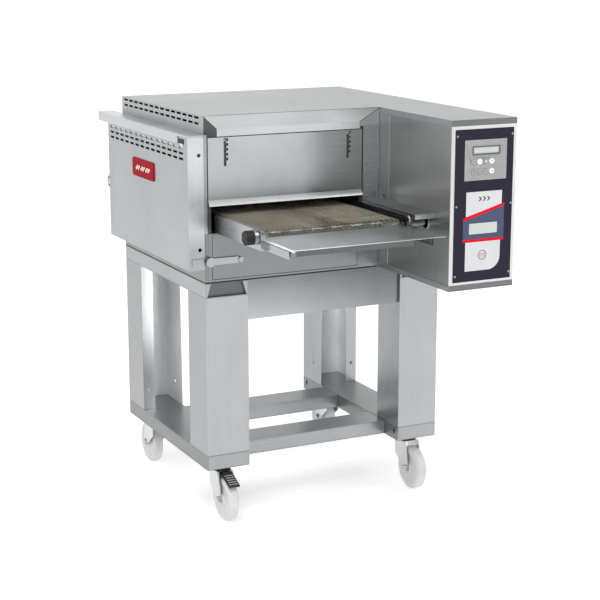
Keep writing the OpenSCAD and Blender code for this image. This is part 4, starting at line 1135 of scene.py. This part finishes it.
def add_fan_guard():
    """Wire rings and spokes over the cooling fan's opening at the back."""
    centre = Vector(JOINTS["cooling_fan_spin"]["pos_m"])
    centre.y = HOUSING_HIGH.y + 0.004
    mesh_bm = bmesh.new()
    for radius in (0.010, 0.018, 0.026, 0.034, 0.042):
        ring = []
        for k in range(48):
            turn = math.radians(7.5 * k)
            ring.append(centre + radius * Vector((math.cos(turn), 0, math.sin(turn))))
        add_tube(mesh_bm, ring, 0.0009, 6, closed=True)
    for k in range(4):
        turn = math.radians(45 + 90 * k)
        way = Vector((math.cos(turn), 0, math.sin(turn)))
        foot = centre + way * 0.051
        points = [centre + way * 0.010, centre + way * 0.044, centre + way * 0.049 - Vector((0, 0.003, 0))]
        add_tube(mesh_bm, points, 0.0011, 6)
        foot.y = HOUSING_HIGH.y
        add_cross_screw(mesh_bm, foot, FACE_REAR, 0.0038, 0.002)
    add_piece("fan_guard", mesh_bm, [STEEL_RAIL_PAINTED_SHADE, BLACK], "oven")


def add_gland_nut():
    """The clamping nut of the cable gland."""
    mount = next(m for m in frame["record"]["mounts"] if m["name"] == "cable_inlet")
    place = Vector(mount["pos_m"])
    place.y = HOUSING_HIGH.y + 0.008
    mesh_bm = bmesh.new()
    add_lathe(mesh_bm, [(0.0072, 0.0058), (0.0116, 0.0058), (0.0155, 0.004), (0.0155, 0), (0.0118, 0),
                        (0.0118, 0.003), (0.0072, 0.003), (0.0072, 0.0058)], place, FACE_REAR, 12)
    add_piece("gland_nut", mesh_bm, BLACK, "oven", 25)


def add_guide_hooks():
    """The hooked ends of the guide rod over the right rail."""
    mesh_bm = bmesh.new()
    rod_r = 0.003
    x = middle("belt").x + 0.213
    z = BODY_LOW.z + 0.193
    front = JOINTS["front_shaft_turn"]["pos_m"][1] - 0.029
    rear = JOINTS["rear_shaft_turn"]["pos_m"][1] + 0.004
    for side, y in ((-1, front), (1, rear)):
        points = [(x, y - side * 0.004, z), (x, y, z)]
        for k in range(1, 7):
            turn = math.radians(15 * k)
            points.append((x, y + side * 0.008 * math.sin(turn), z - 0.008 * (1 - math.cos(turn))))
        points.append((x, y + side * 0.008, z - 0.013))
        add_tube(mesh_bm, points, rod_r, 12)
    add_piece("guide_rod_hooks", mesh_bm, STEEL_RAIL_PAINTED_SHADE, "oven")


def main():
    add_camera()
    add_studio()
    add_floor()
    finish_cad()
    accent_body()
    accent_stand()
    accent_conveyor()
    add_belt()
    add_fasteners()
    for corner in CORNERS:
        add_wheel(corner)
        add_caster_details(corner)
    add_plate_bolts()
    add_pedal("front_left")
    add_pedal("rear_right")
    add_panel_graphics()
    add_display_frames()
    add_keys()
    add_badge_marks()
    add_cover_catch()
    add_vent_baffle()
    add_seam_lines()
    add_bearing_faces()
    add_shaft_end_caps()
    add_fan_guard()
    add_gland_nut()
    add_guide_hooks()
    bpy.context.scene.view_settings.view_transform = "Standard"


main()
